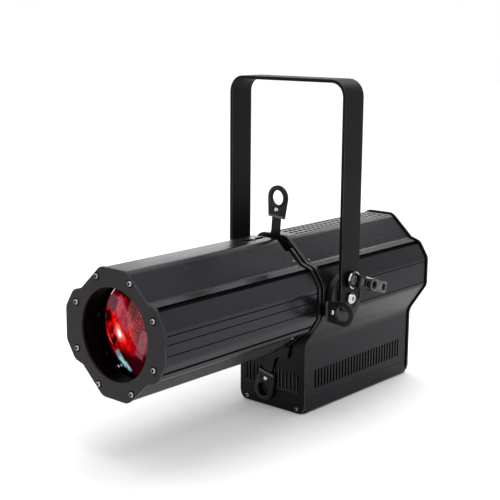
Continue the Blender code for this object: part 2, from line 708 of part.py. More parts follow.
def safety_eye():
    """Bent rod on the rear plate for the safety cable."""
    curve = bpy.data.curves.new("eye", "CURVE")
    curve.dimensions = "3D"
    curve.bevel_depth = 2.2 * MM
    curve.bevel_resolution = 2
    curve.use_fill_caps = True
    spline = curve.splines.new("POLY")
    half, reach, bend, steps = 9 * MM, 15 * MM, 6 * MM, 4
    path = [Vector((-half, 0, 0)), Vector((-half, reach - bend, 0))]
    for step in range(1, steps + 1):
        turn = radians(90) * step / steps
        path.append(Vector((-half + bend * (1 - cos(turn)), reach - bend + bend * sin(turn), 0)))
    path += [Vector((-point.x, point.y, 0)) for point in reversed(path)]
    spline.points.add(len(path) - 1)
    for point, place in zip(spline.points, path):
        point.co = (*place, 1)
    drawn = bpy.data.objects.new("eye", curve)
    bpy.context.scene.collection.objects.link(drawn)
    drawn.location = (0, along(TOTAL_LENGTH) + GAP, AXIS_HEIGHT + 64 * MM)
    bpy.context.view_layer.update()
    graph = bpy.context.evaluated_depsgraph_get()
    mesh = bpy.data.meshes.new_from_object(drawn.evaluated_get(graph))
    bm = bmesh.new()
    bm.from_mesh(mesh)
    bmesh.ops.remove_doubles(bm, verts=bm.verts, dist=0.000001)
    bm.to_mesh(mesh)
    bm.free()
    eye = bpy.data.objects.new("eye", mesh)
    bpy.context.scene.collection.objects.link(eye)
    eye.matrix_world = drawn.matrix_world.copy()
    bpy.data.objects.remove(drawn)
    keep(eye, "safety_eye", BRIGHT_STEEL)


# ---------------------------------------------------------------- light engine and electronics

def light_engine():
    lens("condenser_lens", 306, 34 * MM, 3 * MM, 8 * MM, 5 * MM, LENS_GLASS)
    emitter = [(0, 336.6), (15, 336.6), (15, 332), (13, 331), (0, 331)]
    profile = [(radius * MM, height * MM) for radius, height in emitter]
    keep(turned("y", (0, along(0), AXIS_HEIGHT), profile, 20), "led_emitter", PHOSPHOR)
    half = 30
    corners = [(-half, -half, 3, 2), (-half, half, 3, 2), (half, half, 3, 2), (half, -half, 3, 2)]
    keep(between("xz", [rounded(corners)], 337, 340), "led_board", BOARD_GREEN)
    fins, width, base, depth = 11, 100 * MM, 8 * MM, 76 * MM
    thickness = 2.4 * MM
    pitch = (width - thickness) / (fins - 1)
    comb = [Vector((width / 2, 0)), Vector((-width / 2, 0))]
    for fin in range(fins):
        left = -width / 2 + fin * pitch
        right = left + thickness
        if fin > 0:
            comb.append(Vector((left, base)))
        comb += [Vector((left, depth)), Vector((right, depth))]
        if fin < fins - 1:
            comb.append(Vector((right, base)))
    heatsink = plate("xy", [comb], 84 * MM, (0, along(340.4), AXIS_HEIGHT))
    keep(heatsink, "heatsink", BARE_ALUMINIUM)


FAN_FRONT = 419.0
FAN_DEPTH = 25.0
FAN_HALF = 46.0


def fan():
    corners = [(-FAN_HALF, -FAN_HALF, 5, 2), (-FAN_HALF, FAN_HALF, 5, 2),
               (FAN_HALF, FAN_HALF, 5, 2), (FAN_HALF, -FAN_HALF, 5, 2)]
    loops = [rounded(corners), circle((0, 0), 43.5 * MM, 32)]
    frame = keep(between("xz", loops, FAN_FRONT, FAN_FRONT + FAN_DEPTH), "fan_frame", BLACK_PLASTIC)
    rear = FAN_FRONT + FAN_DEPTH
    struts = [((-45 * MM, along(rear - 3), AXIS_HEIGHT - 2 * MM), (45 * MM, along(rear), AXIS_HEIGHT + 2 * MM)),
              ((-2 * MM, along(rear - 3) + 0.1 * MM, AXIS_HEIGHT - 45 * MM),
               (2 * MM, along(rear) - 0.1 * MM, AXIS_HEIGHT + 45 * MM))]
    join(frame, boxes(struts[:1]))
    join(frame, boxes(struts[1:]))
    hub = cylinders("y", [(0, along(rear - 2), AXIS_HEIGHT)], 16 * MM, 3.4 * MM, 20)
    join(frame, hub)

    profile = [(0, 17), (16, 17), (18, 15), (18, 0), (0, 0)]
    profile = [(radius * MM, height * MM) for radius, height in profile]
    rotor = turned("y", (0, along(FAN_FRONT + 2.5), AXIS_HEIGHT), profile, 20)
    rotor = keep(rotor, "fan_rotor", BLACK_PLASTIC)
    middle = Vector((0, along(FAN_FRONT + 11), AXIS_HEIGHT))
    for number in range(7):
        spin = Matrix.Translation(middle) @ Matrix.Rotation(2 * pi * number / 7, 4, "Y")
        vane = spin @ Matrix.Translation((0, 0, 28.5 * MM)) @ Matrix.Rotation(radians(38), 4, "Z")
        bm = bmesh.new()
        bmesh.ops.create_cube(bm, size=1, matrix=vane @ Matrix.Diagonal((19 * MM, 1.6 * MM, 25 * MM, 1)))
        join(rotor, from_bmesh(bm))


def electronics():
    supply = boxes([((-44 * MM, along(305), 8 * MM), (44 * MM, along(440), 48 * MM))])
    bevel = supply.modifiers.new("edge", "BEVEL")
    bevel.width = 1.5 * MM
    bevel.segments = 2
    keep(supply, "power_supply", BARE_ALUMINIUM)
    corners = [(-44, -100, 2, 1), (-44, -56, 2, 1), (44, -56, 2, 1), (44, -100, 2, 1)]
    keep(between("xz", [rounded(corners)], 522, 523.6), "control_board", BOARD_GREEN)


# ---------------------------------------------------------------- yoke and tilt lock

PIVOT = Vector((0, along(PIVOT_DISTANCE), AXIS_HEIGHT))
DISC_OUTER = YOKE_HALF_WIDTH - STRAP_THICKNESS - GAP
DISC_INNER = 82.5 * MM + GAP
STUD_RADIUS = 3.9 * MM


def tilt_discs():
    """Friction discs on the housing's sides; the clamp studs run in their curved slots."""
    half = STUD_RADIUS + GAP
    spare = radians(3)
    start = radians(90) - TILT_BACK - spare
    end = radians(90) + TILT_FORWARD + spare
    first_end = (CLAMP_RADIUS * cos(start), CLAMP_RADIUS * sin(start))
    last_end = (CLAMP_RADIUS * cos(end), CLAMP_RADIUS * sin(end))
    slot = arc((0, 0), CLAMP_RADIUS + half, start, end, 14)
    slot += arc(last_end, half, end, end + pi, 5)[1:-1]
    slot += arc((0, 0), CLAMP_RADIUS - half, end, start, 14)
    slot += arc(first_end, half, start + pi, start + 2 * pi, 5)[1:-1]
    for side, name in ((1, "right"), (-1, "left")):
        loops = [circle((0, 0), 33 * MM, 40), slot, circle((0, 0), BOLT_HOLE, 16)]
        middle = PIVOT + Vector((side * (DISC_OUTER + DISC_INNER) / 2, 0, 0))
        disc = plate("yz", loops, DISC_OUTER - DISC_INNER, middle)
        keep(disc, f"{name}_tilt_disc", BLACK_PLASTIC)


def pivot_bolts():
    for side, name in ((1, "right"), (-1, "left")):
        profile = [(0, 2.4), (3.0, 2.4), (3.0, 5.4), (5.6, 5.4), (7.4, 3.4), (7.4, 0.3), (3.9, 0.3),
                   (3.9, -19), (0, -19)]
        profile = [(radius * MM, height * MM) for radius, height in profile]
        bolt = turned("x", PIVOT + Vector((side * YOKE_HALF_WIDTH, 0, 0)), profile, 20)
        bolt.rotation_euler = (0, radians(90 * side), 0)
        keep(bolt, f"{name}_pivot_bolt", BRIGHT_STEEL)


def yoke():
    """Bent strap with round-ended legs, drilled for the pivots, the clamps and the hanging bolts."""
    outer = YOKE_HALF_WIDTH / MM
    top = YOKE_TOP / MM
    wall = STRAP_THICKNESS / MM
    foot = -STRAP_WIDTH / 2 / MM
    outside = [(-outer, foot, 0, 0), (-outer, top, 22, 6), (outer, top, 22, 6), (outer, foot, 0, 0)]
    inside = [(-outer + wall, foot, 0, 0), (-outer + wall, top - wall, 17.5, 6),
              (outer - wall, top - wall, 17.5, 6), (outer - wall, foot, 0, 0)]
    strap = plate("xz", [rounded(outside) + rounded(inside)[::-1]], STRAP_WIDTH, PIVOT)
    strap = keep(strap, "yoke", POWDER_BLACK)
    half = STRAP_WIDTH / 2 + 1 * MM
    legs = [Vector((half, YOKE_TOP + 5 * MM)), Vector((-half, YOKE_TOP + 5 * MM)), Vector((-half, 0))]
    legs += arc((0, 0), STRAP_WIDTH / 2, pi, 2 * pi, 12)
    legs.append(Vector((half, 0)))
    combine(strap, plate("yz", [legs], 2 * YOKE_HALF_WIDTH + 10 * MM, PIVOT), "INTERSECT")
    cut(strap, cylinders("x", [PIVOT, PIVOT + Vector((0, 0, CLAMP_RADIUS))], BOLT_HOLE,
                         2 * YOKE_HALF_WIDTH + 10 * MM, 16))
    bar = PIVOT + Vector((0, 0, YOKE_TOP))
    cut(strap, cylinders("z", [bar], 6.5 * MM, 20 * MM, 20))
    outer_holes = [bar + Vector((x * MM, 0, 0)) for x in (-45, 45)]
    cut(strap, cylinders("z", outer_holes, 4.25 * MM, 20 * MM, 14))
    strap.data.transform(strap.matrix_world)
    strap.data.transform(Matrix.Translation(-PIVOT))
    strap.matrix_world = Matrix.Translation(PIVOT)


LEVER_DROP = radians(17.5)


def clamp_levers():
    """Ribbed clamping levers: six-sided hub on the stud, arm, boss and flat end tab."""
    for side, name in ((1, "right"), (-1, "left")):
        hinge = PIVOT + Vector((side * YOKE_HALF_WIDTH, 0, CLAMP_RADIUS))
        turn = Matrix.Rotation(-LEVER_DROP, 4, "X")
        hub = cylinders("x", [(side * 8.1 * MM, 0, 0)], 11.5 * MM, 15.6 * MM, 6)
        hub = keep(hub, f"{name}_clamp_lever", BLACK_PLASTIC)
        hub.matrix_world = Matrix.Translation(hinge) @ turn
        stud = cylinders("x", [(side * -5.8 * MM, 0, 0)], STUD_RADIUS, 15 * MM, 16)
        arm = [(-2, 8.2, 0, 0), (41, 7.2, 0, 0), (41, -7.2, 0, 0), (-2, -8.2, 0, 0)]
        arm = plate("yz", [rounded(arm)], 8 * MM, (side * 8.4 * MM, 0, 0))
        boss = cylinders("x", [(side * 8.4 * MM, 42 * MM, 0)], 9 * MM, 11 * MM, 18)
        tab = [(40, 8, 0, 0), (72, 8, 3, 2), (72, -8, 3, 2), (40, -8, 0, 0)]
        hole = [(61, 4.2, 1.5, 2), (68, 4.2, 1.5, 2), (68, -4.2, 1.5, 2), (61, -4.2, 1.5, 2)]
        tab = plate("yz", [rounded(tab), rounded(hole)], 4.6 * MM, (side * 8.4 * MM, 0, 0))
        for piece in (stud, arm, boss, tab):
            piece.matrix_world = hub.matrix_world @ piece.matrix_world
            join(hub, piece)


front_plate()
front_screws()
lens_tube()
barrel_liner()
focus_and_zoom()
tube_rear_plate()
shutters()
housing_front_plate()
lamp_housing()
top_grille()
bottom_cover()
housing_rear_plate()
menu_buttons()
display_window()
sockets()
safety_eye()
light_engine()
fan()
electronics()
tilt_discs()
pivot_bolts()
yoke()
clamp_levers()
bpy.context.view_layer.update()
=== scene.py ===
"""Looks of the LED profile spotlight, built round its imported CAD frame. Metres, +Z up.

Sections: materials, modelling helpers, pieces from the front of the spotlight to its rear,
then the stage, the lights and the camera.
"""
import json
from math import acos, cos, pi, radians, sin, sqrt, tan

import bmesh
import bpy
from mathutils import Matrix, Vector


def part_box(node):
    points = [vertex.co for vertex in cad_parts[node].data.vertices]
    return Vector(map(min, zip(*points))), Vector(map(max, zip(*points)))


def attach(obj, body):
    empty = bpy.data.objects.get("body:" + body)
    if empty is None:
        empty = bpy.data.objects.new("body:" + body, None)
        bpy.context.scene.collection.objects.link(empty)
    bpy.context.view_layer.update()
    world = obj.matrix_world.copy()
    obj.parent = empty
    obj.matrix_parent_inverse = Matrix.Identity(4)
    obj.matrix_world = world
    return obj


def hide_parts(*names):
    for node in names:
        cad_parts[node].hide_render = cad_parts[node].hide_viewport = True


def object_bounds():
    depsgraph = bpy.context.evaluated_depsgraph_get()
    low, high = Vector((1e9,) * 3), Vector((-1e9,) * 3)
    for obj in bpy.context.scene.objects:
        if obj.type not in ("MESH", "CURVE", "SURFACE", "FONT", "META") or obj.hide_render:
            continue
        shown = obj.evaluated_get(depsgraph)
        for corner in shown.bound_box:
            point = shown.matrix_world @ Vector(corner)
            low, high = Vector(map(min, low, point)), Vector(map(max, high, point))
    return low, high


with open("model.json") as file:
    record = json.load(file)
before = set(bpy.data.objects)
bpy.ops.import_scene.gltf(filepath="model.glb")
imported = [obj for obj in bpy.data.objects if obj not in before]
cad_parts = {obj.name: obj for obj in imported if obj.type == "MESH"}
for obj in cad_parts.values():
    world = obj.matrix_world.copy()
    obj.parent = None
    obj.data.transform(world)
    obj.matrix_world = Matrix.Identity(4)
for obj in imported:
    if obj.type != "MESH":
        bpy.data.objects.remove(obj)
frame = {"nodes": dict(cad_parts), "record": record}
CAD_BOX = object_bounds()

MM = 0.001
NODES = frame["nodes"]
SLOT_OF = {entry["node"]: entry["material_slot"] for entry in frame["record"]["subparts"]}
BODY_OF = {}
for body, members in frame["record"]["behaviour"]["bodies"].items():
    for member in members:
        BODY_OF[member] = body

PLATE_LOW, PLATE_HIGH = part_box("front_plate")
FRONT_Y = PLATE_LOW.y
AXIS = (PLATE_LOW.z + PLATE_HIGH.z) / 2


def along(distance):
    """The y of a place this many mm behind the front face."""
    return FRONT_Y + distance * MM


def at(x, distance, z):
    """A place from mm: to the right of the axis, behind the front face, above the axis."""
    return Vector((x * MM, along(distance), AXIS + z * MM))


# ---------------------------------------------------------------- material nodes

class Finish:
    """A new material with the node steps that the finishes below are made of."""

    def __init__(self, name):
        self.material = bpy.data.materials.new(name)
        self.material.use_nodes = True
        self.tree = self.material.node_tree
        self.shader = self.tree.nodes["Principled BSDF"]

    def node(self, kind, **values):
        made = self.tree.nodes.new(kind)
        for name, value in values.items():
            setattr(made, name, value)
        return made

    def link(self, source, target):
        self.tree.links.new(source, target)

    def put(self, **values):
        """Constants straight on the shader's sockets; _ in a name stands for a space."""
        for name, value in values.items():
            self.shader.inputs[name.replace("_", " ")].default_value = value

    def place(self, stretch=(1, 1, 1)):
        """Object coordinates in metres, squeezed or drawn out along the axes."""
        coordinates = self.node("ShaderNodeTexCoord")
        mapping = self.node("ShaderNodeMapping")
        mapping.inputs["Scale"].default_value = stretch
        self.link(coordinates.outputs["Object"], mapping.inputs["Vector"])
        return mapping.outputs["Vector"]

    def noise(self, scale, detail, stretch=(1, 1, 1)):
        made = self.node("ShaderNodeTexNoise")
        made.inputs["Scale"].default_value = scale
        made.inputs["Detail"].default_value = detail
        self.link(self.place(stretch), made.inputs["Vector"])
        return made.outputs["Fac"]

    def cells(self, scale, stretch=(1, 1, 1)):
        made = self.node("ShaderNodeTexVoronoi")
        made.inputs["Scale"].default_value = scale
        self.link(self.place(stretch), made.inputs["Vector"])
        return made.outputs["Distance"]

    def ramp(self, source, stops):
        made = self.node("ShaderNodeValToRGB")
        while len(made.color_ramp.elements) < len(stops):
            made.color_ramp.elements.new(0.5)
        for element, (position, colour) in zip(made.color_ramp.elements, stops):
            element.position = position
            element.color = (*colour, 1)
        self.link(source, made.inputs["Fac"])
        return made.outputs["Color"]

    def spread(self, source, low, high, start=0.3, end=0.7):
        made = self.node("ShaderNodeMapRange")
        made.inputs["From Min"].default_value = start
        made.inputs["From Max"].default_value = end
        made.inputs["To Min"].default_value = low
        made.inputs["To Max"].default_value = high
        self.link(source, made.inputs["Value"])
        return made.outputs["Result"]

    def maths(self, operation, first, second):
        made = self.node("ShaderNodeMath", operation=operation)
        for socket, value in zip(made.inputs, (first, second)):
            if isinstance(value, (int, float)):
                socket.default_value = value
            else:
                self.link(value, socket)
        return made.outputs[0]

    def over(self, below, above, share):
        """One colour laid over another where share is 1."""
        made = self.node("ShaderNodeMix", data_type="RGBA")
        self.link(share, made.inputs["Factor"])
        for value, socket in ((below, made.inputs["A"]), (above, made.inputs["B"])):
            if isinstance(value, tuple):
                socket.default_value = (*value, 1)
            else:
                self.link(value, socket)
        return made.outputs["Result"]

    def relief(self, source, strength, height):
        made = self.node("ShaderNodeBump")
        made.inputs["Strength"].default_value = strength
        made.inputs["Distance"].default_value = height
        self.link(source, made.inputs["Height"])
        self.link(made.outputs["Normal"], self.shader.inputs["Normal"])


def coated(name, dark, light, rough, metallic, grain, stretch=(1, 1, 1), height=0.00005,
           specular=0.5, coat=0.0, sheen=(1, 1, 1)):
    """A finish with mottled colour, uneven gloss and a fine grain in relief."""
    made = Finish(name)
    cloud = made.noise(28, 5, stretch)
    fine = made.noise(grain, 3, stretch)
    made.link(made.ramp(cloud, [(0.3, dark), (0.7, light)]), made.shader.inputs["Base Color"])
    made.link(made.spread(fine, rough[0], rough[1]), made.shader.inputs["Roughness"])
    made.put(Metallic=metallic, Coat_Weight=coat, Coat_Roughness=0.12, Specular_IOR_Level=specular,
             Specular_Tint=(*sheen, 1))
    made.relief(fine, 0.5, height)
    return made.material


def grey(value, tint=(1, 1, 1)):
    return tuple(value * channel for channel in tint)


COOL = (0.93, 0.97, 1.08)
WARM = (1.06, 0.97, 1.0)
BROWN = (1.15, 0.96, 0.85)
BLUISH = (0.82, 0.85, 1.0)
IVORY = (1, 0.98, 0.95)
ALONG_TUBE = (1, 0.03, 1)
MATERIALS = {
    "anodised_black": coated("anodised_black", grey(0.003, COOL), grey(0.005, COOL), (0.19, 0.28), 0.0,
                             700, ALONG_TUBE, height=0.00001, specular=0.30, sheen=BLUISH),
    # Painted shade: the same anodising with less shine, making the lamp housing and bottom cover darker.
    "anodised_black_shaded": coated("anodised_black_shaded", grey(0.002, COOL), grey(0.004, COOL), (0.19, 0.28), 0.0,
                            700, ALONG_TUBE, height=0.00001, specular=0.16, sheen=BLUISH),
    "front_grey": coated("front_grey", grey(0.005, WARM), grey(0.008, WARM), (0.30, 0.42), 0.0,
                         1500, height=0.00002, specular=0.19, sheen=(1, 0.92, 1)),
    "powder_black": coated("powder_black", grey(0.003), grey(0.005), (0.38, 0.52), 0.0,
                           1500, height=0.00008, specular=0.09, sheen=BLUISH),
    # Dark, little shine: partly the end plates' own black, partly painted shade on the box front under
    # the tube.
    "plate_black_shaded": coated("plate_black_shaded", grey(0.0015), grey(0.003), (0.24, 0.34), 0.0,
                          1500, height=0.00003, specular=0.12),
    "black_plastic": coated("black_plastic", grey(0.003), grey(0.006), (0.38, 0.50), 0.0,
                            1100, height=0.00004, specular=0.25),
    "gloss_black": coated("gloss_black", grey(0.001), grey(0.003), (0.07, 0.14), 0.0,
                          400, height=0.00001, specular=0.22),
    "grip_black": coated("grip_black", grey(0.002), grey(0.006), (0.26, 0.42), 0.0,
                         1300, height=0.00022, specular=0.22),
    "blade_steel": coated("blade_steel", grey(0.001, BROWN), grey(0.004, BROWN), (0.20, 0.34), 0.0,
                          500, (1, 1, 0.1), height=0.00002, specular=0.16, sheen=(1, 0.88, 0.78)),
    # Painted highlight: a lighter grey for bevels and the lever's pocket floor, standing in for
    # highlights.
    "painted_highlight": coated("painted_highlight", grey(0.03, COOL), grey(0.10, COOL), (0.25, 0.45), 0.3, 1200),
    # Painted highlight, brighter, for the front plate's bevels.
    "painted_bright_highlight": coated("painted_bright_highlight", grey(0.10, COOL), grey(0.26, COOL), (0.25, 0.4), 0.3,
                          1200, height=0.00004),
    "satin_black": coated("satin_black", grey(0.012, COOL), grey(0.03, COOL), (0.16, 0.3), 0.0,
                          900, height=0.00002),
    "bright_steel": coated("bright_steel", grey(0.50, IVORY), grey(0.68, IVORY), (0.16, 0.30), 1.0, 800),
    "bare_aluminium": coated("bare_aluminium", grey(0.50), grey(0.62), (0.28, 0.42), 1.0,
                             700, (1, 1, 0.05), height=0.00002),
    "board_green": coated("board_green", (0.010, 0.07, 0.028), (0.016, 0.11, 0.045),
                          (0.30, 0.45), 0.0, 900),
    "display_black": coated("display_black", (0.006, 0.008, 0.010), (0.010, 0.012, 0.015),
                            (0.04, 0.08), 0.0, 300, height=0.00001, specular=0.4, coat=0.2),
    # Near-black with almost no shine, for painted shade: round screw heads, in grooves and vents, behind
    # openings and in socket holes.
    "shade_black": coated("shade_black", grey(0.0004), grey(0.0012), (0.55, 0.75), 0.0,
                           900, height=0.00003, specular=0.02),
    # Near-black with little shine: partly the barrel parts' own black, partly painted shade inside the
    # barrel.
    "barrel_black_shaded": coated("barrel_black_shaded", grey(0.0002), grey(0.0005), (0.16, 0.28), 0.0,
                           700, height=0.00003, specular=0.035),
    "screw_steel": coated("screw_steel", grey(0.22, WARM), grey(0.40, WARM), (0.18, 0.34), 1.0,
                          1400, height=0.00003),
    "brass": coated("brass", (0.62, 0.40, 0.14), (0.75, 0.52, 0.20), (0.2, 0.35), 1.0, 900),
}


def plain_glass():
    made = Finish("lens_glass")
    fine = made.noise(40, 2)
    made.link(made.ramp(fine, [(0.3, (1.0, 0.90, 0.90)), (0.7, (1.0, 0.95, 0.95))]),
              made.shader.inputs["Base Color"])
    made.put(Roughness=0.02, IOR=1.46, Transmission_Weight=1.0)
    return made.material


def lens_coordinates(made):
    """x and z from the lens axis in mm, as two sockets."""
    coordinates = made.node("ShaderNodeTexCoord")
    split = made.node("ShaderNodeSeparateXYZ")
    made.link(coordinates.outputs["Object"], split.inputs["Vector"])
    x = made.maths("MULTIPLY", split.outputs["X"], 1 / MM)
    z = made.maths("MULTIPLY", made.maths("SUBTRACT", split.outputs["Z"], AXIS), 1 / MM)
    return x, z


LIT_RADIUS = 58.2


def lens_painted_light():
    """The front lens with painted light: an emission colour that paints the red glow of the source in it,
    its hot spot and the soft reflections lying on it.
    """
    made = Finish("lens_painted_light")
    x, z = lens_coordinates(made)
    sway = 3.2
    bent_x = made.maths("ADD", x, made.spread(made.noise(70, 1), -sway, sway))
    bent_z = made.maths("ADD", z, made.spread(made.noise(60, 1, (1.3, 1, 0.8)), -sway, sway))

    def turned_axes(middle, degrees, bent):
        """Distances from the middle along and across a direction, both positive."""
        across_x = made.maths("SUBTRACT", bent_x if bent else x, middle[0])
        across_z = made.maths("SUBTRACT", bent_z if bent else z, middle[1])
        u = made.maths("ADD", made.maths("MULTIPLY", across_x, cos(radians(degrees))),
                       made.maths("MULTIPLY", across_z, sin(radians(degrees))))
        v = made.maths("SUBTRACT", made.maths("MULTIPLY", across_z, cos(radians(degrees))),
                       made.maths("MULTIPLY", across_x, sin(radians(degrees))))
        return made.maths("ABSOLUTE", u, 0), made.maths("ABSOLUTE", v, 0)

    def rectangle(middle, degrees, half, soft, bent=True):
        u, v = turned_axes(middle, degrees, bent)
        beyond = made.maths("MAXIMUM", made.maths("SUBTRACT", u, half[0]),
                            made.maths("SUBTRACT", v, half[1]))
        return made.spread(beyond, 1, 0, -soft, soft)

    def oval(middle, degrees, half, soft, bent=True):
        u, v = turned_axes(middle, degrees, bent)
        u = made.maths("POWER", made.maths("DIVIDE", u, half[0]), 2)
        v = made.maths("POWER", made.maths("DIVIDE", v, half[1]), 2)
        return made.spread(made.maths("ADD", u, v), 1, 0, 1 - soft, 1 + soft)

    # Painted glow: red emission that stands for the source's light seen through the glass, deeper red
    # where it fades.
    glow_stops = [(0.0, (1.0, 0.012, 0.008)), (0.4, (0.75, 0.002, 0.003)), (0.8, (0.3, 0.0, 0.002))]
    glow = made.ramp(made.cells(110, (1, 0.4, 1)), glow_stops)
    deep_stops = [(0.35, (0.04, 0.0, 0.002)), (0.5, (0.16, 0.001, 0.003)), (0.7, (0.40, 0.003, 0.006))]
    deep = made.ramp(made.noise(90, 4), deep_stops)
    colour = made.over(deep, glow, oval((-30, -4), -50, (34, 24), 0.7))
    # Painted light over the glow: darker red patches of painted shade, pink reflections of the soft
    # lights, a white hot spot, cyan reflected slivers and bright rim highlights.
    layers = [
        ((0.025, 0.0, 0.002), rectangle((-2, -47), -8, (30, 13), 4)),
        ((0.02, 0.0, 0.0), rectangle((-51, 7), 12, (8, 9), 2)),
        ((0.02, 0.0, 0.001), rectangle((-26, 40), -16, (17, 4.6), 2)),
        ((0.02, 0.0, 0.0), oval((-45, -9), 70, (6, 3.5), 0.5)),
        ((0.03, 0.0, 0.0), oval((-42, -24), 60, (8, 5), 0.5)),
        ((0.34, 0.035, 0.055), rectangle((-22, 15), -54, (20, 10), 1.2, False)),
        ((0.45, 0.08, 0.11), rectangle((-29, 22), -54, (8, 8), 3)),
        ((0.13, 0.045, 0.06), rectangle((-42, 24), -24, (8.5, 10), 1, False)),
        ((0.24, 0.05, 0.075), rectangle((11, -17), 66, (18, 6), 1.2, False)),
        ((0.30, 0.0, 0.02), rectangle((-1, -18), 74, (9, 2.5), 1)),
        ((1.0, 0.16, 0.10), rectangle((-49, -23), -53, (7, 0.6), 0.5)),
        ((1.0, 0.22, 0.18), oval((-29, -12), -60, (10, 8.5), 0.8)),
        ((0.88, 1.0, 0.98), oval((-29, -11.5), -70, (6.0, 5.0), 0.5)),
        ((0.10, 0.32, 0.35), rectangle((-33.5, -38), -62, (5.5, 4), 1.2, False)),
        ((0.16, 0.45, 0.47), rectangle((-26.5, -45), -45, (7.5, 3.8), 1.2, False)),
        ((0.14, 0.38, 0.40), rectangle((-18, -50.5), -50, (6, 2.8), 1.2, False)),
        ((0.45, 0.74, 0.77), rectangle((-25, -44.5), -52, (6, 1.1), 0.8)),
        ((0.45, 0.74, 0.77), rectangle((-17, -51.5), -48, (5, 0.8), 0.6)),
        ((1.0, 0.85, 0.82), rectangle((-43, 37.5), 52, (5.5, 0.5), 0.4, False)),
    ]
    for tint, share in layers:
        colour = made.over(colour, tint, share)
    # Painted glints: pink sparkles inside a band and an oval.
    painted_glints = made.spread(made.cells(420), 1, 0, 0.10, 0.22)
    band = made.maths("MAXIMUM", rectangle((-6, -1), 25, (19, 2.2), 1.2), oval((-8, 8), 0, (30, 16), 0.9))
    colour = made.over(colour, (1.0, 0.30, 0.30), made.maths("MULTIPLY", painted_glints, band))
    colour = made.over((0.0, 0.0, 0.0), colour, oval((0, 0), 0, (LIT_RADIUS, LIT_RADIUS), 0.01, False))
    mottle = made.ramp(made.noise(260, 4), [(0.32, grey(0.6)), (0.60, grey(1.0))])
    shaded = made.node("ShaderNodeMix", data_type="RGBA", blend_type="MULTIPLY")
    shaded.inputs["Factor"].default_value = 1
    made.link(colour, shaded.inputs["A"])
    made.link(mottle, shaded.inputs["B"])
    made.link(shaded.outputs["Result"], made.shader.inputs["Emission Color"])
    made.put(Emission_Strength=1.15, Base_Color=(0.012, 0.001, 0.001, 1), Roughness=0.04,
             Specular_IOR_Level=0.2)
    made.relief(made.cells(600), 0.15, 0.0001)
    return made.material


def lit_red():
    made = Finish("led_red")
    cloud = made.noise(300, 2)
    made.link(made.ramp(cloud, [(0.4, (0.8, 0.02, 0.02)), (0.6, (1.0, 0.10, 0.06))]),
              made.shader.inputs["Base Color"])
    made.put(Emission_Color=(1.0, 0.03, 0.02, 1), Emission_Strength=4.0)
    return made.material


MATERIALS["lens_glass"] = plain_glass()
MATERIALS["led_red"] = lit_red()
MATERIALS["lens_painted_light"] = lens_painted_light()


# ---------------------------------------------------------------- modelling helpers

def finish_piece(piece, name, slot, body, replaced=(), look=None, edge_look=None):
    """Names a finished piece, gives it the material of its look, else of its record slot, and puts it on
    its body.

    With an edge look, the faces that the piece's bevel makes take it as their own material.
    """
    piece.name = name
    piece.data.name = name
    piece.data.materials.clear()
    piece.data.materials.append(MATERIALS[look or slot])
    if edge_look:
        piece.data.materials.append(MATERIALS[edge_look])
        piece.modifiers["edges"].material = 1
    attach(piece, body)
    if replaced:
        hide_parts(*replaced)
    return piece


def new_object(mesh):
    piece = bpy.data.objects.new("piece", mesh)
    bpy.context.scene.collection.objects.link(piece)
    return piece


def from_bmesh(bm, smooth_to=40):
    bmesh.ops.recalc_face_normals(bm, faces=bm.faces)
    mesh = bpy.data.meshes.new("piece")
    bm.to_mesh(mesh)
    bm.free()
    mesh.shade_smooth()
    mesh.set_sharp_from_angle(angle=radians(smooth_to))
    return new_object(mesh)


def bevelled(piece, width, segments=2, angle=30):
    bevel = piece.modifiers.new("edges", "BEVEL")
    bevel.width = width * MM
    bevel.segments = segments
    bevel.limit_method = "ANGLE"
    bevel.angle_limit = radians(angle)
    bevel.harden_normals = True
    return piece


def copied(node):
    """The node's own shape as a new object, its flat faces made whole again."""
    bm = bmesh.new()
    bm.from_mesh(NODES[node].data)
    bmesh.ops.remove_doubles(bm, verts=bm.verts, dist=0.000002)
    bmesh.ops.dissolve_limit(bm, angle_limit=radians(0.4), verts=bm.verts, edges=bm.edges)
    return from_bmesh(bm)


def refined(node, width, segments=2, angle=30, look=None, edge_look=None):
    """The node's shape with its edges eased, in place of the sharp one."""
    piece = bevelled(copied(node), width, segments, angle)
    return finish_piece(piece, node + "_fine", SLOT_OF[node], BODY_OF[node], [node], look, edge_look)


def baked(piece):
    """Applies the piece's modifiers."""
    bpy.context.view_layer.update()
    graph = bpy.context.evaluated_depsgraph_get()
    mesh = bpy.data.meshes.new_from_object(piece.evaluated_get(graph))
    piece.modifiers.clear()
    piece.data = mesh
    return piece


def carved(piece, cutter):
    """The piece with the cutter's shape taken away; the cutter is used up."""
    boolean = piece.modifiers.new("cut", "BOOLEAN")
    boolean.operation = "DIFFERENCE"
    boolean.solver = "EXACT"
    boolean.object = cutter
    baked(piece)
    bpy.data.objects.remove(cutter)
    piece.data.shade_smooth()
    piece.data.set_sharp_from_angle(angle=radians(28))
    return piece


def block_mesh(spans):
    """Separate blocks in one object, each from its lowest to its highest corner."""
    bm = bmesh.new()
    for low, high in spans:
        size = Vector(high) - Vector(low)
        middle = (Vector(high) + Vector(low)) / 2
        stretched = Matrix.Translation(middle) @ Matrix.Diagonal((*size, 1))
        bmesh.ops.create_cube(bm, size=1, matrix=stretched)
    return from_bmesh(bm)


def loft_into(bm, rings, matrix=Matrix.Identity(4)):
    """Skins rings of equally many points, with a cap at each end."""
    loops = [[bm.verts.new(matrix @ Vector(point)) for point in ring] for ring in rings]
    for first, second in zip(loops, loops[1:]):
        for index in range(len(first)):
            after = (index + 1) % len(first)
            bm.faces.new((first[index], first[after], second[after], second[index]))
    bm.faces.new(loops[0][::-1])
    bm.faces.new(loops[-1])


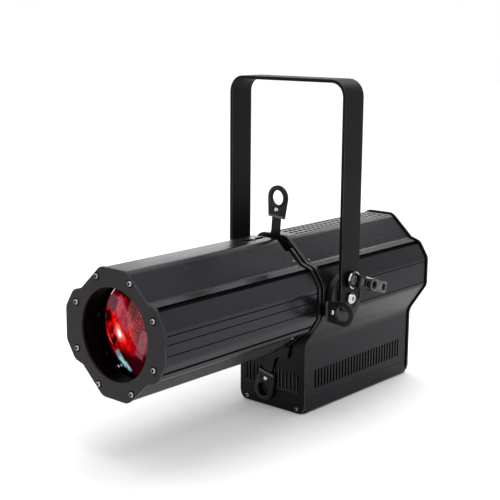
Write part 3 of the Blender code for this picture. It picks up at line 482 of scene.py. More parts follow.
def ring_points(radius, height, sides, flats=0):
    """A ring about local Z; with flats it is a regular polygon of that across-corners radius."""
    points = []
    for step in range(sides):
        angle = 2 * pi * step / sides
        reach = radius
        if flats:
            part = 2 * pi / flats
            reach = radius * cos(part / 2) / cos(angle % part - part / 2)
        points.append(Vector((reach * cos(angle), reach * sin(angle), height)) * MM)
    return points


def lathe(profile, matrix, sides=64, closed=False):
    """A turned piece; the profile is (radius, height) in mm about the matrix's Z axis."""
    bm = bmesh.new()
    loops = []
    for radius, height in profile:
        if radius == 0:
            loops.append([bm.verts.new(matrix @ Vector((0, 0, height * MM)))] * sides)
        else:
            loops.append([bm.verts.new(matrix @ point) for point in ring_points(radius, height, sides)])
    pairs = list(zip(loops, loops[1:]))
    if closed:
        pairs.append((loops[-1], loops[0]))
    for first, second in pairs:
        for index in range(sides):
            after = (index + 1) % sides
            corners = [first[index], first[after], second[after], second[index]]
            unique = list(dict.fromkeys(corners))
            if len(unique) > 2:
                bm.faces.new(unique)
    return from_bmesh(bm)


def facing(place, direction):
    """A matrix at the place whose Z axis points in the direction."""
    turn = Vector(direction).to_track_quat("Z", "Y").to_matrix().to_4x4()
    return Matrix.Translation(place) @ turn


REARWARD = (0, 1, 0)
FORWARD = (0, -1, 0)


# Radius and height as shares of a screw's radius, and the number of flat sides
SCREW_RINGS = [(1, 0, 0), (1, 0.14, 0), (0.93, 0.32, 0), (0.78, 0.48, 0), (0.66, 0.56, 0),
               (0.60, 0.54, 6), (0.56, 0.10, 6), (0.1, 0.04, 0)]
# For the ring of painted shade under each head: the same share of the radius, and a height in mm
SHADE_RING_PROFILE = [(1.36, 0.02), (1.36, 0.22), (1.26, 0.34), (0.9, 0.34)]
SCREW_SIDES = 24


def button_screws(name, places, radius, slot, body, replaced=(), look=None, with_shade_rings=True):
    """Domed screws with six-sided sockets, each on a thin dark ring of painted shade, as one piece."""
    bm = bmesh.new()
    for place, direction in places:
        rings = [ring_points(reach * radius, height * radius, SCREW_SIDES, flats)
                 for reach, height, flats in SCREW_RINGS]
        loft_into(bm, rings, facing(place, direction))
    screws = finish_piece(from_bmesh(bm, 30), name, slot, body, replaced, look)
    if with_shade_rings:
        bm = bmesh.new()
        for place, direction in places:
            rings = [ring_points(reach * radius, height, SCREW_SIDES) for reach, height in SHADE_RING_PROFILE]
            loft_into(bm, rings, facing(place, direction))
        # Painted shade: a near-black ring round each head.
        finish_piece(from_bmesh(bm, 30), name + "_shade_ring", slot, body, (), "shade_black")
    return screws


# Corners of the outlines: x and z in mm from the axis, corner radius, ribs along the next side
LOBE = [(21.5, 77.5, 14, 28), (55.2, 46.4, 5, 0)]
WIDE_GROOVE = [(66.6, 43.2, 0, 0), (64.6, 40.2, 0, 0), (68.4, 37.6, 0, 0), (70.4, 40.6, 0, 0)]
PLAIN_SHOULDER = [(69.5, 42.4, 12, 0)]
SIDE_X = 83.5
SIDE_CORNER = [(SIDE_X, 20.5, 14, 0)]
THIN_GROOVE = [(76.6, 31.3, 0, 0), (75.2, 30.6, 0, 0), (74.1, 32.3, 0, 0), (75.4, 33.2, 0, 0)]
BOX_X = 55.5
WAIST = [(SIDE_X, -20.5, 14, 0), (BOX_X, -62.2, 26, 0)]


def side_line(z, width):
    """A hair-fine groove across the flat side of an extrusion."""
    return [(SIDE_X, z + width / 2, 0, 0), (SIDE_X - width * 0.7, z, 0, 0), (SIDE_X, z - width / 2, 0, 0)]


def offset(corners, distance):
    """Moves a clockwise outline outwards; distance in mm, negative for inwards."""
    moved = []
    for index, (x, z, radius, ribs) in enumerate(corners):
        before = corners[index - 1]
        after = corners[(index + 1) % len(corners)]
        into = Vector((x - before[0], z - before[1])).normalized()
        out_of = Vector((after[0] - x, after[1] - z)).normalized()
        normal_in = Vector((-into.y, into.x))
        normal_out = Vector((-out_of.y, out_of.x))
        shift = (normal_in + normal_out) * distance / (1 + normal_in.dot(normal_out))
        convex = into.cross(out_of) < 0
        new_radius = radius + distance if convex else radius - distance
        moved.append((x + shift.x, z + shift.y, max(new_radius, 0) if radius else 0, ribs))
    return moved


def corner_arc(corners, index):
    """The points, in mm, that round one corner of an outline."""
    x, z, radius = corners[index][:3]
    corner = Vector((x, z))
    into = (corner - Vector(corners[index - 1][:2])).normalized()
    out_of = (Vector(corners[(index + 1) % len(corners)][:2]) - corner).normalized()
    turn = acos(max(-1, min(1, into.dot(out_of))))
    if radius <= 0 or turn < 0.01:
        return [corner]
    reach = radius * tan(turn / 2)
    side = 1 if into.cross(out_of) > 0 else -1
    centre = corner - into * reach + Vector((-into.y, into.x)) * side * radius
    start = corner - into * reach - centre
    steps = max(2, round(turn * 9))
    arc = []
    for step in range(steps + 1):
        angle = side * turn * step / steps
        arc.append(centre + Vector((start.x * cos(angle) - start.y * sin(angle),
                                    start.x * sin(angle) + start.y * cos(angle))))
    return arc


RIB_DEPTH = 0.3


def rounded(corners, ribbed=False):
    """The outline's points in mm, with arcs at its corners and fine ribs where it has them."""
    arcs = [corner_arc(corners, index) for index in range(len(corners))]
    points = []
    for index, arc in enumerate(arcs):
        points += arc
        ribs = corners[index][3]
        if not ribbed or not ribs:
            continue
        start, end = arc[-1], arcs[(index + 1) % len(arcs)][0]
        step = (end - start) / (ribs + 1)
        inward = Vector((step.y, -step.x)).normalized() * RIB_DEPTH
        for rib in range(ribs):
            middle = start + step * (rib + 1)
            points += [middle - step * 0.3, middle - step * 0.12 + inward,
                       middle + step * 0.12 + inward, middle + step * 0.3]
    return points


def mirrored_x(right):
    """Closes a right-hand run of corners with its mirror image; ribs belong to a corner's next side."""
    left = []
    for index in range(len(right) - 1, -1, -1):
        x, z, radius = right[index][:3]
        left.append((-x, z, radius, right[index - 1][3] if index else 0))
    return right + left


def below(upper):
    """The run mirrored to below the axis."""
    low = []
    for index in range(len(upper) - 1, -1, -1):
        x, z, radius = upper[index][:3]
        low.append((x, -z, radius, upper[index - 1][3] if index else 0))
    return low


def extruded(loops, start, end, bevel=0.0):
    """A flat outline on xz with holes, in mm, filling the stretch from start to end."""
    curve = bpy.data.curves.new("outline", "CURVE")
    curve.dimensions = "2D"
    curve.fill_mode = "BOTH"
    curve.extrude = ((end - start) / 2 - bevel) * MM
    curve.bevel_depth = bevel * MM
    curve.bevel_resolution = 1
    curve.offset = -bevel * MM
    for loop in loops:
        spline = curve.splines.new("POLY")
        spline.points.add(len(loop) - 1)
        for point, place in zip(spline.points, loop):
            point.co = (place[0] * MM, place[1] * MM, 0, 1)
        spline.use_cyclic_u = True
    drawn = bpy.data.objects.new("outline", curve)
    bpy.context.scene.collection.objects.link(drawn)
    bpy.context.view_layer.update()
    graph = bpy.context.evaluated_depsgraph_get()
    mesh = bpy.data.meshes.new_from_object(drawn.evaluated_get(graph))
    bpy.data.objects.remove(drawn)
    bm = bmesh.new()
    bm.from_mesh(mesh)
    bmesh.ops.remove_doubles(bm, verts=bm.verts, dist=0.000001)
    middle = at(0, (start + end) / 2, 0)
    bm.transform(Matrix.Translation(middle) @ Matrix.Rotation(radians(90), 4, "X"))
    return from_bmesh(bm, 28)


def circle(middle, radius, sides):
    return [Vector((middle[0] + radius * cos(2 * pi * step / sides),
                    middle[1] + radius * sin(2 * pi * step / sides))) for step in range(sides)]


# ---------------------------------------------------------------- front end and lens tube

SCREW_CIRCLE = 70.4
FIRST_SCREW = 23.5
PAIR_ANGLE = 43                   # degrees between the two screws of a quarter
SCREW_PLACES = []
for quarter in range(4):
    for extra in (0, PAIR_ANGLE):
        angle = radians(FIRST_SCREW + 90 * quarter + extra)
        SCREW_PLACES.append((SCREW_CIRCLE * cos(angle), SCREW_CIRCLE * sin(angle)))

SMOOTH_UPPER = LOBE + PLAIN_SHOULDER + SIDE_CORNER
PLATE_OUTLINE = mirrored_x(SMOOTH_UPPER + below(SMOOTH_UPPER))
TUBE_RIGHT = LOBE + WIDE_GROOVE + SIDE_CORNER + side_line(13, 0.45)
TUBE_RIGHT += side_line(3, 0.3) + side_line(-10, 0.3)
TUBE_RIGHT += below(LOBE + PLAIN_SHOULDER + THIN_GROOVE[::-1] + SIDE_CORNER)
PLATE_THICKNESS = 3
SEAM_FRONT = 272.3
SEAM_REAR = 286.7
HOUSING_END = 527
INSET = 1.0
WALL = 3.0
GAP = 0.3
APERTURE_RADIUS = 55.5
APERTURE_LIP = 0.058              # metres; faces nearer the aperture's centre stay plain
LINER_BORE = 57
LINER_RIBS = 6
RIB_PITCH = 3.3
NOTCH_HALF_WIDTH = 36.4
NOTCH = (263, 275)
TOP_SLOT = (226, 261)
FOCUS_SLOT = (38, 98)
ZOOM_SLOT = (228, 266)
SIDE_SLOT_HALF = 3.6


def front_end():
    loops = [rounded(PLATE_OUTLINE), circle((0, 0), APERTURE_RADIUS, 120)]
    plate = bevelled(extruded(loops, 0, PLATE_THICKNESS), 0.6)
    # The plate's bevels, away from the aperture, take a brighter grey as painted highlight.
    finish_piece(plate, "front_plate_fine", "front_grey", "housing", ["front_plate"],
                 edge_look="painted_bright_highlight")
    baked(plate)
    for face in plate.data.polygons:
        if (Vector((0, FRONT_Y, AXIS)) - face.center).length < APERTURE_LIP:
            face.material_index = 0
    for number, (x, z) in enumerate(SCREW_PLACES, 1):
        button_screws(f"front_screw_{number}_fine", [(at(x, 0, z), FORWARD)], 3.5, "bright_steel",
                      "housing", [f"front_screw_{number}"], "screw_steel")
    outside, ridge, length = LINER_BORE + 2, LINER_BORE - 1.1, 22
    profile = [(outside, 0), (LINER_BORE, 0)]
    for rib in range(LINER_RIBS):
        start = 1.5 + RIB_PITCH * rib
        profile += [(LINER_BORE, start), (ridge, start + 0.5), (ridge, start + 1.1),
                    (LINER_BORE, start + 1.6)]
    profile += [(LINER_BORE, length), (outside, length)]
    liner = lathe(profile, facing(at(0, PLATE_THICKNESS + GAP, 0), REARWARD), 96, True)
    # The liner takes the near-black barrel look, partly painted shade.
    finish_piece(liner, "barrel_liner_fine", "black_plastic", "housing", ["barrel_liner"],
                 "barrel_black_shaded")


def tube():
    outer = offset(mirrored_x(TUBE_RIGHT), -INSET)
    plain = LOBE + WIDE_GROOVE + SIDE_CORNER
    plain += below(LOBE + PLAIN_SHOULDER + THIN_GROOVE[::-1] + SIDE_CORNER)
    inner = offset(mirrored_x(plain), -INSET - WALL)
    shell = extruded([rounded(outer, True), rounded(inner)], PLATE_THICKNESS + GAP, SEAM_FRONT - GAP)
    spans = [(at(-NOTCH_HALF_WIDTH, NOTCH[0], low), at(NOTCH_HALF_WIDTH, NOTCH[1], high))
             for low, high in ((58, 90), (-90, -58))]
    spans.append((at(-4.5, TOP_SLOT[0], 70), at(4.5, TOP_SLOT[1], 90)))
    for start, end in (FOCUS_SLOT, ZOOM_SLOT):
        spans.append((at(-95, start, -SIDE_SLOT_HALF), at(-75, end, SIDE_SLOT_HALF)))
    carved(shell, block_mesh(spans))
    finish_piece(shell, "lens_tube_fine", "anodised_black", "housing", ["lens_tube"])


SHADE_STRIP_TOP = 0.72                  # how far down a groove's sides its strip of painted shade begins


def groove_shade_strip(name, corners, start, end):
    """A black strip of painted shade down the bottom of a groove, on both sides of the outline."""
    strips = []
    for side in (1, -1):
        first, deep, deeper, last = [Vector((side * corner[0], corner[1])) for corner in corners]
        loop = [first.lerp(deep, SHADE_STRIP_TOP), deep, deeper, last.lerp(deeper, SHADE_STRIP_TOP)]
        strips.append(loop if side > 0 else loop[::-1])
    bm = bmesh.new()
    for loop in strips:
        rings = []
        for distance in (start, end):
            rings.append([at(point.x, distance, point.y) for point in loop])
        loft_into(bm, rings)
    finish_piece(from_bmesh(bm), name, "black_plastic", "housing", (), "shade_black")


def tube_trim():
    inset_groove = [(x - 0.55, z - 0.8, radius, ribs) for x, z, radius, ribs in WIDE_GROOVE]
    groove_shade_strip("tube_groove_shade_strips", inset_groove, 3.5, SEAM_FRONT - 0.5)
    thin = [(x - 0.8, -z + 0.6, radius, ribs) for x, z, radius, ribs in THIN_GROOVE]
    groove_shade_strip("tube_thin_groove_shade_strips", thin, 3.5, SEAM_FRONT - 0.5)
    groove_shade_strip("housing_groove_shade_strips", inset_groove, SEAM_REAR + 0.5, HOUSING_END - 0.5)
    slant = Vector((LOBE[0][1] - LOBE[1][1], 0, LOBE[1][0] - LOBE[0][0])).normalized()
    places = []
    for sx in (1, -1):
        for sz in (1, -1):
            normal = Vector((sx * slant.x, 0, sz * slant.z))
            places.append((at(sx * 48.3, 264.4, sz * 51.4), normal))
        places.append((at(sx * 51.0, 292.8, 48.9), Vector((sx * slant.x, 0, slant.z))))
    button_screws("seam_screws", places, 1.9, "bright_steel", "housing", (), "screw_steel", False)


# ---------------------------------------------------------------- lenses and their carriages

POST_CIRCLE = 59.8


def front_lens():
    """Front lens with a polished bevel, its retaining ring and three ring screws."""
    radius, bulge, edge, rear = 59.5, 7.0, 6.0, 4.0
    sphere = (radius ** 2 + bulge ** 2) / (2 * bulge)
    back = (radius ** 2 + rear ** 2) / (2 * rear)
    front = [(radius * step / 12, -(sqrt(sphere ** 2 - (radius * step / 12) ** 2) - sphere + bulge))
             for step in range(12)]
    front += [(radius - 0.6, -0.1), (radius, 0.5)]
    behind = [(radius * step / 8, edge + sqrt(back ** 2 - (radius * step / 8) ** 2) - back + rear)
              for step in range(8, -1, -1)]
    place = facing(at(0, 39, 0), REARWARD)
    lens = lathe(front + behind, place, 96)
    # The lens takes the look with the painted glow, hot spot and reflections.
    finish_piece(lens, "front_lens_fine", "lens_glass", "focus_carriage", ["front_lens"], "lens_painted_light")
    profile = [(65, 0.6), (64.4, 0), (58.4, 0), (57.5, 1.2), (57.5, 2.4), (65, 2.4)]
    ring = lathe(profile, facing(at(0, 35.9, 0), REARWARD), 96, True)
    # The ring's bevels take the near-black barrel look, partly painted shade.
    finish_piece(ring, "front_lens_ring_fine", "powder_black", "focus_carriage", ["front_lens_ring"],
                 "barrel_black_shaded")
    places = []
    for number, degrees in enumerate((240, 120, 0), 1):
        angle = radians(degrees)
        places.append((at(POST_CIRCLE * cos(angle), 32.8, POST_CIRCLE * sin(angle)), FORWARD))
        post = [(0, 0), (2.9, 0), (2.9, 2.3), (3.6, 3.0), (0, 3.0)]
        post = lathe(post, facing(places[-1][0], REARWARD), 24)
        finish_piece(post, f"lens_ring_post_{number}", "bright_steel", "focus_carriage", (),
                     "screw_steel")
    button_screws("lens_ring_screws", places, 3.3, "bright_steel", "focus_carriage")


def carriages():
    # The front carrier takes the near-black barrel look, partly painted shade.
    refined("front_lens_carrier", 0.4, look="barrel_black_shaded")
    refined("rear_lens_carrier", 0.4)
    refined("zoom_guide_screw", 0.15)
    for node in ("focus_knob", "zoom_knob"):
        refined(node, 0.4)


# ---------------------------------------------------------------- framing shutters

GRIP_RADIUS = 16.0
GRIP_HOLE = 26.5                  # the finger hole's centre, from the grip's inner edge
FINGER_RADIUS = 9.75
GRIP_FOOT = 13.2
GRIP_HALF = 1.8
RIVET_AT = 10.5
FRONT_DOME = 1.0
REAR_DOME = 0.6                   # lower, to clear the housing's front plate
# Turn in degrees, inner end, sideways shift, and distance behind the front face
SHUTTERS = {"top": (4.5, 22.2, 0, 278.2), "bottom": (192.5, 29.5, -19.5, 278.2),
            "right": (90, 11.5, 9.6, 279.8), "left": (-90, 11.5, -9.6, 279.8)}
BLADE_LENGTH = 79.5
RIDGES = 5
FIRST_RIDGE = 4.6
RIDGE_PITCH = 1.9
RIDGE_HALF_WIDTH = 12.4
RIVET_CLEARANCE = 4.6


def grip_plate():
    """The flat grip with its finger hole, and a slot that the blade's end goes into."""
    head = [Vector((GRIP_RADIUS * cos(radians(turn)), GRIP_HOLE + GRIP_RADIUS * sin(radians(turn))))
            for turn in range(186, -7, -6)]
    outline = [Vector((-GRIP_FOOT, 0))] + head + [Vector((GRIP_FOOT, 0))]
    grip = extruded([outline, circle((0, GRIP_HOLE), FINGER_RADIUS, 48)], -GRIP_HALF, GRIP_HALF, 0.6)
    grip.data.transform(Matrix.Translation(at(0, 0, 0)).inverted())
    slot = Vector((7.9, 0.85, 0)) * MM
    return carved(grip, block_mesh([(Vector((-slot.x, -slot.y, -5 * MM)),
                                     Vector((slot.x, slot.y, 16.4 * MM)))]))


def grip_ridges(frame_of, direction):
    """Low ridges across the grip's foot, the upper ones parted round the rivet."""
    ridges = bmesh.new()
    for number in range(RIDGES):
        z = FIRST_RIDGE + number * RIDGE_PITCH
        parts = [(-RIDGE_HALF_WIDTH, RIDGE_HALF_WIDTH)]
        if number:
            parts = [(-RIDGE_HALF_WIDTH, -RIVET_CLEARANCE), (RIVET_CLEARANCE, RIDGE_HALF_WIDTH)]
        for left, right in parts:
            low = Vector((left, 1.7, z)) * MM
            high = Vector((right, 2.2, z + 0.9)) * MM
            rings = []
            for height, shrink in ((low.y, 0), (high.y, 0.25 * MM)):
                rings.append([Vector((low.x + shrink, direction * height, low.z + shrink)),
                              Vector((high.x - shrink, direction * height, low.z + shrink)),
                              Vector((high.x - shrink, direction * height, high.z - shrink)),
                              Vector((low.x + shrink, direction * height, high.z - shrink))])
            loft_into(ridges, rings, frame_of)
    return from_bmesh(ridges)


def grip_face(name, body, frame_of, direction, dome):
    """The raised ring, rivet, lip and ridges on one face of a grip."""
    ring = [(13.4, 1.7), (13.2, 2.4), (12.6, 2.75), (10.9, 2.75), (10.1, 2.4), (FINGER_RADIUS, 1.7)]
    out = frame_of @ facing(Vector((0, 0, GRIP_HOLE * MM)), (0, direction, 0))
    finish_piece(lathe(ring, out, 48, True), f"{name}_ring", "grip_black", body)
    rivet = [(radius, 1.7 + height * dome) for radius, height in
             ((3.2, 0), (3.2, 0.3), (2.8, 0.9), (2.0, 1.4), (1.0, 1.6), (0, 1.65))]
    out = frame_of @ facing(Vector((0, 0, RIVET_AT * MM)), (0, direction, 0))
    finish_piece(lathe(rivet, out, 24), f"{name}_rivet", "bright_steel", body)
    lip = block_mesh([(Vector((-12.6, direction * 2.2 - 0.4, 0.3)) * MM,
                       Vector((12.6, direction * 2.2 + 0.4, 3.4)) * MM)])
    lip.data.transform(frame_of)
    # The lip's bevels take a lighter grey as painted highlight.
    finish_piece(bevelled(lip, 0.3), f"{name}_lip", "grip_black", body, (), "painted_highlight")
    finish_piece(grip_ridges(frame_of, direction), f"{name}_ridges", "grip_black", body)


def shutters():
    for side, (degrees, inner, sideways, plane) in SHUTTERS.items():
        body = f"{side}_shutter"
        refined(f"{side}_shutter_blade", 0.18, 1)
        frame_of = Matrix.Translation(at(0, plane, 0)) @ Matrix.Rotation(radians(degrees), 4, "Y")
        frame_of = frame_of @ Matrix.Translation(Vector((sideways, 0, inner + BLADE_LENGTH)) * MM)
        grip = grip_plate()
        grip.data.transform(frame_of)
        finish_piece(grip, f"{side}_shutter_grip_fine", "grip_black", body, [f"{side}_shutter_grip"])
        grip_face(f"{side}_grip_front", body, frame_of, -1, FRONT_DOME)
        grip_face(f"{side}_grip_rear", body, frame_of, 1, REAR_DOME)


# ---------------------------------------------------------------- lamp housing

HOUSING_RIGHT = LOBE + WIDE_GROOVE + SIDE_CORNER + side_line(14.5, 0.4) + side_line(-16, 0.4) + WAIST
FOOT = -141
VENTS = 30
FIRST_VENT = 307
VENT_PITCH = 6.8
VENT_HALF_WIDTH = 1.65
VENT_BOTTOM, VENT_TOP = -129, -103
# The stretch and the height of the vents' inner walls, in metres
VENT_REACH = (0.300, 0.512)
VENT_LEVEL = (-0.1291, -0.1029)


def housing_shell():
    foot = [(BOX_X, FOOT, 0, 0)]
    outer = offset(mirrored_x(HOUSING_RIGHT + foot), -INSET)
    count = len(HOUSING_RIGHT) + 1
    outer = outer[count:] + outer[:count]
    plain = LOBE + WIDE_GROOVE + SIDE_CORNER + WAIST + foot
    inner = offset(mirrored_x(plain), -INSET - WALL)
    inner = inner[len(plain):] + inner[:len(plain)]
    skin = rounded(outer, True)
    lining = rounded(inner)
    lining[0].y = skin[0].y
    lining[-1].y = skin[-1].y
    shell = extruded([skin + lining[::-1]], SEAM_REAR + GAP, HOUSING_END - GAP)
    spans = []
    for number in range(VENTS):
        middle = FIRST_VENT + VENT_PITCH * number
        spans.append((at(-90, middle - VENT_HALF_WIDTH, VENT_BOTTOM),
                      at(90, middle + VENT_HALF_WIDTH, VENT_TOP)))
    spans.append((at(-20.5, 305, 65), at(20.5, 513, 90)))
    carved(shell, block_mesh(spans))
    # The housing takes the less shiny copy of the anodising, painted shade.
    finish_piece(shell, "lamp_housing_fine", "anodised_black", "housing", ["lamp_housing"],
                 "anodised_black_shaded")
    # Painted shade: the vents' inner walls take a near-black.
    shell.data.materials.append(MATERIALS["shade_black"])
    for face in shell.data.polygons:
        level = face.center.z - AXIS
        inside = VENT_REACH[0] < face.center.y - FRONT_Y < VENT_REACH[1]
        if inside and VENT_LEVEL[0] < level < VENT_LEVEL[1] and abs(face.normal.x) < 0.5:
            face.material_index = 1


def vent_shade_sheets():
    """Thin black sheets behind the vents and the top grille, painted shade that darkens the openings."""
    bm = bmesh.new()
    spans = [((50.0, 51.2), (300, 512), (-133, -99)), ((-51.2, -50.0), (300, 512), (-133, -99)),
             ((-19.5, 19.5), (306, 512), (71.5, 72.5)), ((-49, 49), (287.5, 289), (-135, -100))]
    for (x0, x1), (y0, y1), (z0, z1) in spans:
        low, high = at(x0, y0, z0), at(x1, y1, z1)
        matrix = Matrix.Translation((low + high) / 2) @ Matrix.Diagonal((*(high - low), 1))
        bmesh.ops.create_cube(bm, size=1, matrix=matrix)
    bmesh.ops.subdivide_edges(bm, edges=bm.edges, cuts=3, use_grid_fill=True)
    finish_piece(from_bmesh(bm), "vent_shade_sheets", "black_plastic", "housing", (), "shade_black")


def end_plates():
    # The end plates: a dark look, partly painted shade, with a painted highlight on their bevels.
    for node in ("tube_rear_plate", "housing_front_plate", "housing_rear_plate"):
        refined(node, 0.4, look="plate_black_shaded", edge_look="painted_highlight")
    refined("top_grille", 0.25, 1, look="anodised_black")
    # The bottom cover takes the less shiny copy of the anodising, painted shade.
    refined("bottom_cover", 0.25, 1, look="anodised_black_shaded")
    places = [(at(x, 281.5, -154), FORWARD) for x in (-43.2, 43.2)]
    button_screws("box_front_screws", places, 2.9, "bright_steel", "housing", (), "screw_steel")
    corners = [(22, 70), (59, 40), (77, 0), (49, -88), (49, -150)]
    places = [(at(side * x, 530, z), REARWARD) for x, z in corners for side in (1, -1)]
    button_screws("rear_plate_screws", places, 2.9, "bright_steel", "housing", (), "screw_steel")


# ---------------------------------------------------------------- rear panel and insides

SOCKETS = ((-39.6, "data_in"), (-13.2, "data_out"), (13.2, "power_in"), (39.6, "power_out"))
SOCKET_Z = -128
PIN_CIRCLE = 3.3


def rear_panel():
    for number in range(1, 5):
        refined(f"menu_button_{number}", 0.25)
    refined("display_window", 0.2)
    width, height, lip = 27.5, 10.5, 1.6
    frame_loops = [[(-width, -height), (width, -height), (width, height), (-width, height)],
                   [(lip - width, lip - height), (width - lip, lip - height),
                    (width - lip, height - lip), (lip - width, height - lip)]]
    bezel = extruded(frame_loops, 530, 531, 0.35)
    bezel.data.transform(Matrix.Translation((0, 0, -72 * MM)))
    finish_piece(bezel, "display_bezel", "black_plastic", "housing")
    for x, name in SOCKETS:
        refined(f"{name}_socket", 0.5)
        female = name == "data_out"
        core = [(8.6, 0), (9.6, 0), (9.6, 0.3), (9.3, 0.5), (8.6, 0.5)]
        if not female:
            core = [(0, 0), (5.6, 0), (5.6, 6.6), (5.0, 7.2), (0, 7.2)]
        centre = facing(at(x, 532.5 if female else 521.6, SOCKET_Z), REARWARD)
        finish_piece(lathe(core, centre, 32, female), f"{name}_core", "black_plastic", "housing")
        pins = bmesh.new()
        for degrees in (90, 210, 330):
            angle = radians(degrees)
            place = at(x + PIN_CIRCLE * cos(angle), 532.5 if female else 528.0,
                       SOCKET_Z + PIN_CIRCLE * sin(angle))
            rings = [ring_points(0.9, 0, 12), ring_points(0.9, 1.1, 12), ring_points(0.5, 1.6, 12)]
            if female:
                rings = [ring_points(1.4, 0, 16), ring_points(1.4, 0.2, 16), ring_points(1.1, 0.3, 16)]
            loft_into(pins, rings, facing(place, REARWARD))
        # The female sockets' holes are flat near-black discs, painted shade; the male pins are brass.
        look = "shade_black" if female else "brass"
        finish_piece(from_bmesh(pins), f"{name}_contacts", "bright_steel", "housing", (), look)
        corners = [(at(x + 9.6 * sign, 532.6, SOCKET_Z + 12 * sign), REARWARD) for sign in (1, -1)]
        button_screws(f"{name}_screws", corners, 1.7, "bright_steel", "housing", (), None, False)
    refined("safety_eye", 0.2, 1, 60)


def insides():
    for node in ("heatsink", "power_supply", "fan_frame", "fan_rotor", "led_board", "control_board",
                 "led_emitter", "rear_lens", "condenser_lens"):
        refined(node, 0.25, 1)


# ---------------------------------------------------------------- yoke and tilt lock

LEVER_DROP = radians(-17.5)
BOSS_AT = 38


def yoke_and_levers():
    # The yoke's bevels take a lighter grey as painted highlight.
    refined("yoke", 0.7, 3, edge_look="painted_highlight")
    for side, name in ((1, "right"), (-1, "left")):
        refined(f"{name}_tilt_disc", 0.5)
        refined(f"{name}_pivot_bolt", 0.3)
        hinge = Matrix.Translation(at(side * 96.5, 322, 25))
        clamp_lever(side, name, hinge @ Matrix.Rotation(LEVER_DROP, 4, "X"))


def lever_plate(corners, holes, inner, outer, bevel, side):
    """A flat outline of the lever's own rearward and upward axes, from inner to outer out of the yoke."""
    loops = [rounded([(y, z, radius, 0) for y, z, radius in loop]) for loop in [corners, *holes]]
    flat = extruded(loops, inner, outer, bevel)
    upright = Matrix.Rotation(radians(90), 4, "Z") @ Matrix.Translation(at(0, 0, 0)).inverted()
    flat.data.transform(upright)
    if side > 0:
        flat.data.transform(Matrix.Diagonal((-1, 1, 1, 1)))
        flat.data.flip_normals()
    return flat


def clamp_lever(side, name, place):
    """Round hub, hollowed arm, ringed boss and end tab, with bright steel arcs on the hub's rim and a
    bright strip on the arm as painted highlights.
    """
    body = f"{name}_clamp_lever"
    outward = place @ facing(Vector((0, 0, 0)), (side, 0, 0))
    hub = [(0, 0.4), (11.2, 0.4), (11.4, 1.0), (11.4, 5.4), (10.6, 6.6), (8.2, 6.6), (7.6, 5.6), (0, 5.6)]
    finish_piece(lathe(hub, outward, 48), f"{name}_lever_hub", "gloss_black", body, [body])
    # Painted highlights: four bright steel arcs round the hub's rim.
    rim_highlights = bmesh.new()
    for degrees, spread in ((72, 24), (166, 26), (255, 22), (352, 30)):
        rings = []
        for step in range(9):
            angle = radians(degrees + spread * (step / 4 - 1))
            out = Vector((0, cos(angle), sin(angle)))
            rings.append([Vector((side * depth, 0, 0)) * MM + out * reach * MM
                          for depth, reach in ((5.9, 10.0), (7.3, 10.4), (7.3, 11.3), (5.9, 11.8))])
        loft_into(rim_highlights, rings, place)
    finish_piece(from_bmesh(rim_highlights), f"{name}_lever_clasps", "bright_steel", body)
    socket = [(0, 5.7), (7.0, 5.7), (7.0, 6.4), (6.4, 6.9), (3.4, 6.9), (3.0, 6.0), (0, 6.0)]
    # The nut's bevels take a lighter grey as painted highlight.
    finish_piece(lathe(socket, outward, 6), f"{name}_lever_nut", "gloss_black", body, (), "painted_highlight")
    arm = [(6, 8.2, 2), (41, 7.2, 1), (41, -7.2, 1), (6, -8.2, 2)]
    panel = [(12, 4.6, 1.2), (20.5, 4.6, 1.2), (20.5, -4.6, 1.2), (12, -4.6, 1.2)]
    notch = [(23, 4.4, 0.6), (29.5, 0.6, 0.6), (29.5, -4.2, 0.6), (23, -4.2, 0.6)]
    boss_hole = [(BOSS_AT + 5.2 * x, 5.2 * z, 0) for x, z in circle((0, 0), 1, 24)][::-1]
    tab_hole = [(61, 4.2, 1.5), (68, 4.2, 1.5), (68, -4.2, 1.5), (61, -4.2, 1.5)]
    tab = [(40, 8, 1), (72, 8, 3), (72, -8, 3), (40, -8, 1)]
    boss = [(BOSS_AT + 9 * x, 9 * z, 0) for x, z in circle((0, 0), 1, 32)][::-1]
    floor = [(11, 5.6, 0), (21.5, 5.6, 0), (21.5, -5.6, 0), (11, -5.6, 0)]
    # Painted highlight: a thin bright steel strip along the arm's top edge.
    highlight_strip = [(18, 8.1, 0.5), (36, 7.6, 0.5), (36, 6.2, 0.5), (18, 6.7, 0.5)]
    # The pocket floor (panel) takes a lighter grey as painted highlight.
    for label, corners, holes, inner, outer, bevel, look in (
            ("arm", arm, [panel, notch, boss_hole], 3.4, 11.6, 0.9, "gloss_black"),
            ("panel", floor, [], 4.2, 9.4, 0.2, "painted_highlight"),
            ("highlight_strip", highlight_strip, [], 10.8, 12.2, 0.4, "bright_steel"),
            ("boss", boss, [boss_hole], 3.0, 13.6, 0.9, "satin_black"),
            ("tab", tab, [tab_hole], 6.2, 10.6, 0.7, "satin_black")):
        piece = lever_plate(corners, holes, inner, outer, bevel, side)
        piece.data.transform(place)
        finish_piece(piece, f"{name}_lever_{label}", "gloss_black", body, (), look)


# ---------------------------------------------------------------- stage, light and camera

def area_light(name, place, target, width, depth, power):
    data = bpy.data.lights.new(name, "AREA")
    data.shape = "RECTANGLE"
    data.size = width
    data.size_y = depth
    data.energy = power
    lamp = bpy.data.objects.new(name, data)
    lamp.location = place
    direction = Vector(target) - Vector(place)
    lamp.rotation_euler = direction.to_track_quat("-Z", "Y").to_euler()
    bpy.context.scene.collection.objects.link(lamp)


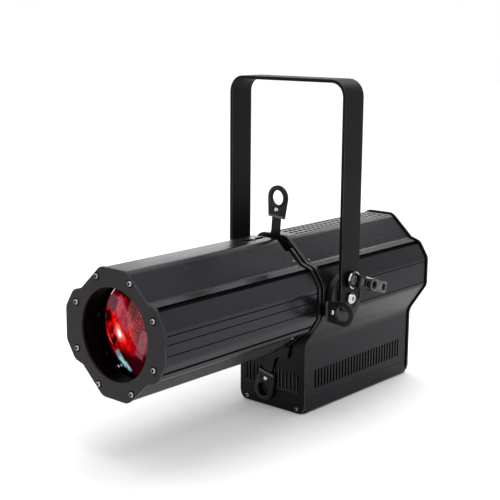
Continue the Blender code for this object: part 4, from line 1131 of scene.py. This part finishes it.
def studio():
    world = bpy.data.worlds.new("studio")
    world.use_nodes = True
    background = world.node_tree.nodes["Background"]
    background.inputs["Color"].default_value = (1, 1, 1, 1)
    background.inputs["Strength"].default_value = 1.0
    scene = bpy.context.scene
    scene.world = world
    scene.view_settings.view_transform = "Standard"
    bm = bmesh.new()
    bmesh.ops.create_grid(bm, x_segments=8, y_segments=8, size=8,
                          matrix=Matrix.Translation((0, 0, CAD_BOX[0].z - 0.0005)))
    floor = from_bmesh(bm)
    floor.name = "floor"
    made = Finish("pale_floor")
    tint = made.ramp(made.noise(3, 2), [(0.3, grey(0.91)), (0.7, grey(0.93))])
    made.link(tint, made.shader.inputs["Base Color"])
    made.put(Roughness=0.9, Specular_IOR_Level=0.2)
    floor.data.materials.append(made.material)
    area_light("overhead", (-0.2, 0.2, 2.2), (0, 0, 0.2), 1.6, 1.6, 14)
    area_light("rear_strip", (-0.22, 1.75, 1.5), (0.05, 0, 0.2), 0.9, 0.2, 4)
    area_light("rear_glow", (-1.4, 2.0, 0.62), (0, 0, 0.25), 1.6, 0.6, 2.2)
    area_light("front_spark", (1.3, -0.7, 1.9), (0, -0.2, 0.2), 0.35, 0.35, 5)
    sky = bpy.data.lights.new("sky_glow", "SUN")
    sky.energy = 0.45
    sky.angle = radians(80)
    glow = bpy.data.objects.new("sky_glow", sky)
    bpy.context.scene.collection.objects.link(glow)


def camera():
    data = bpy.data.cameras.new("camera")
    data.sensor_width = 36
    data.lens = 77.9
    made = bpy.data.objects.new("camera", data)
    turn = Matrix.Rotation(radians(41.03), 4, "Z") @ Matrix.Rotation(radians(90 - 11.65), 4, "X")
    turn = turn @ Matrix.Rotation(radians(0.39), 4, "Z")
    made.matrix_world = Matrix.Translation((0.8941, -1.1991, 0.5043)) @ turn
    bpy.context.scene.collection.objects.link(made)
    bpy.context.scene.camera = made


for node, obj in NODES.items():
    obj.data.materials.clear()
    obj.data.materials.append(MATERIALS[SLOT_OF[node]])

front_end()
tube()
tube_trim()
front_lens()
carriages()
shutters()
housing_shell()
vent_shade_sheets()
end_plates()
rear_panel()
insides()
yoke_and_levers()
studio()
camera()
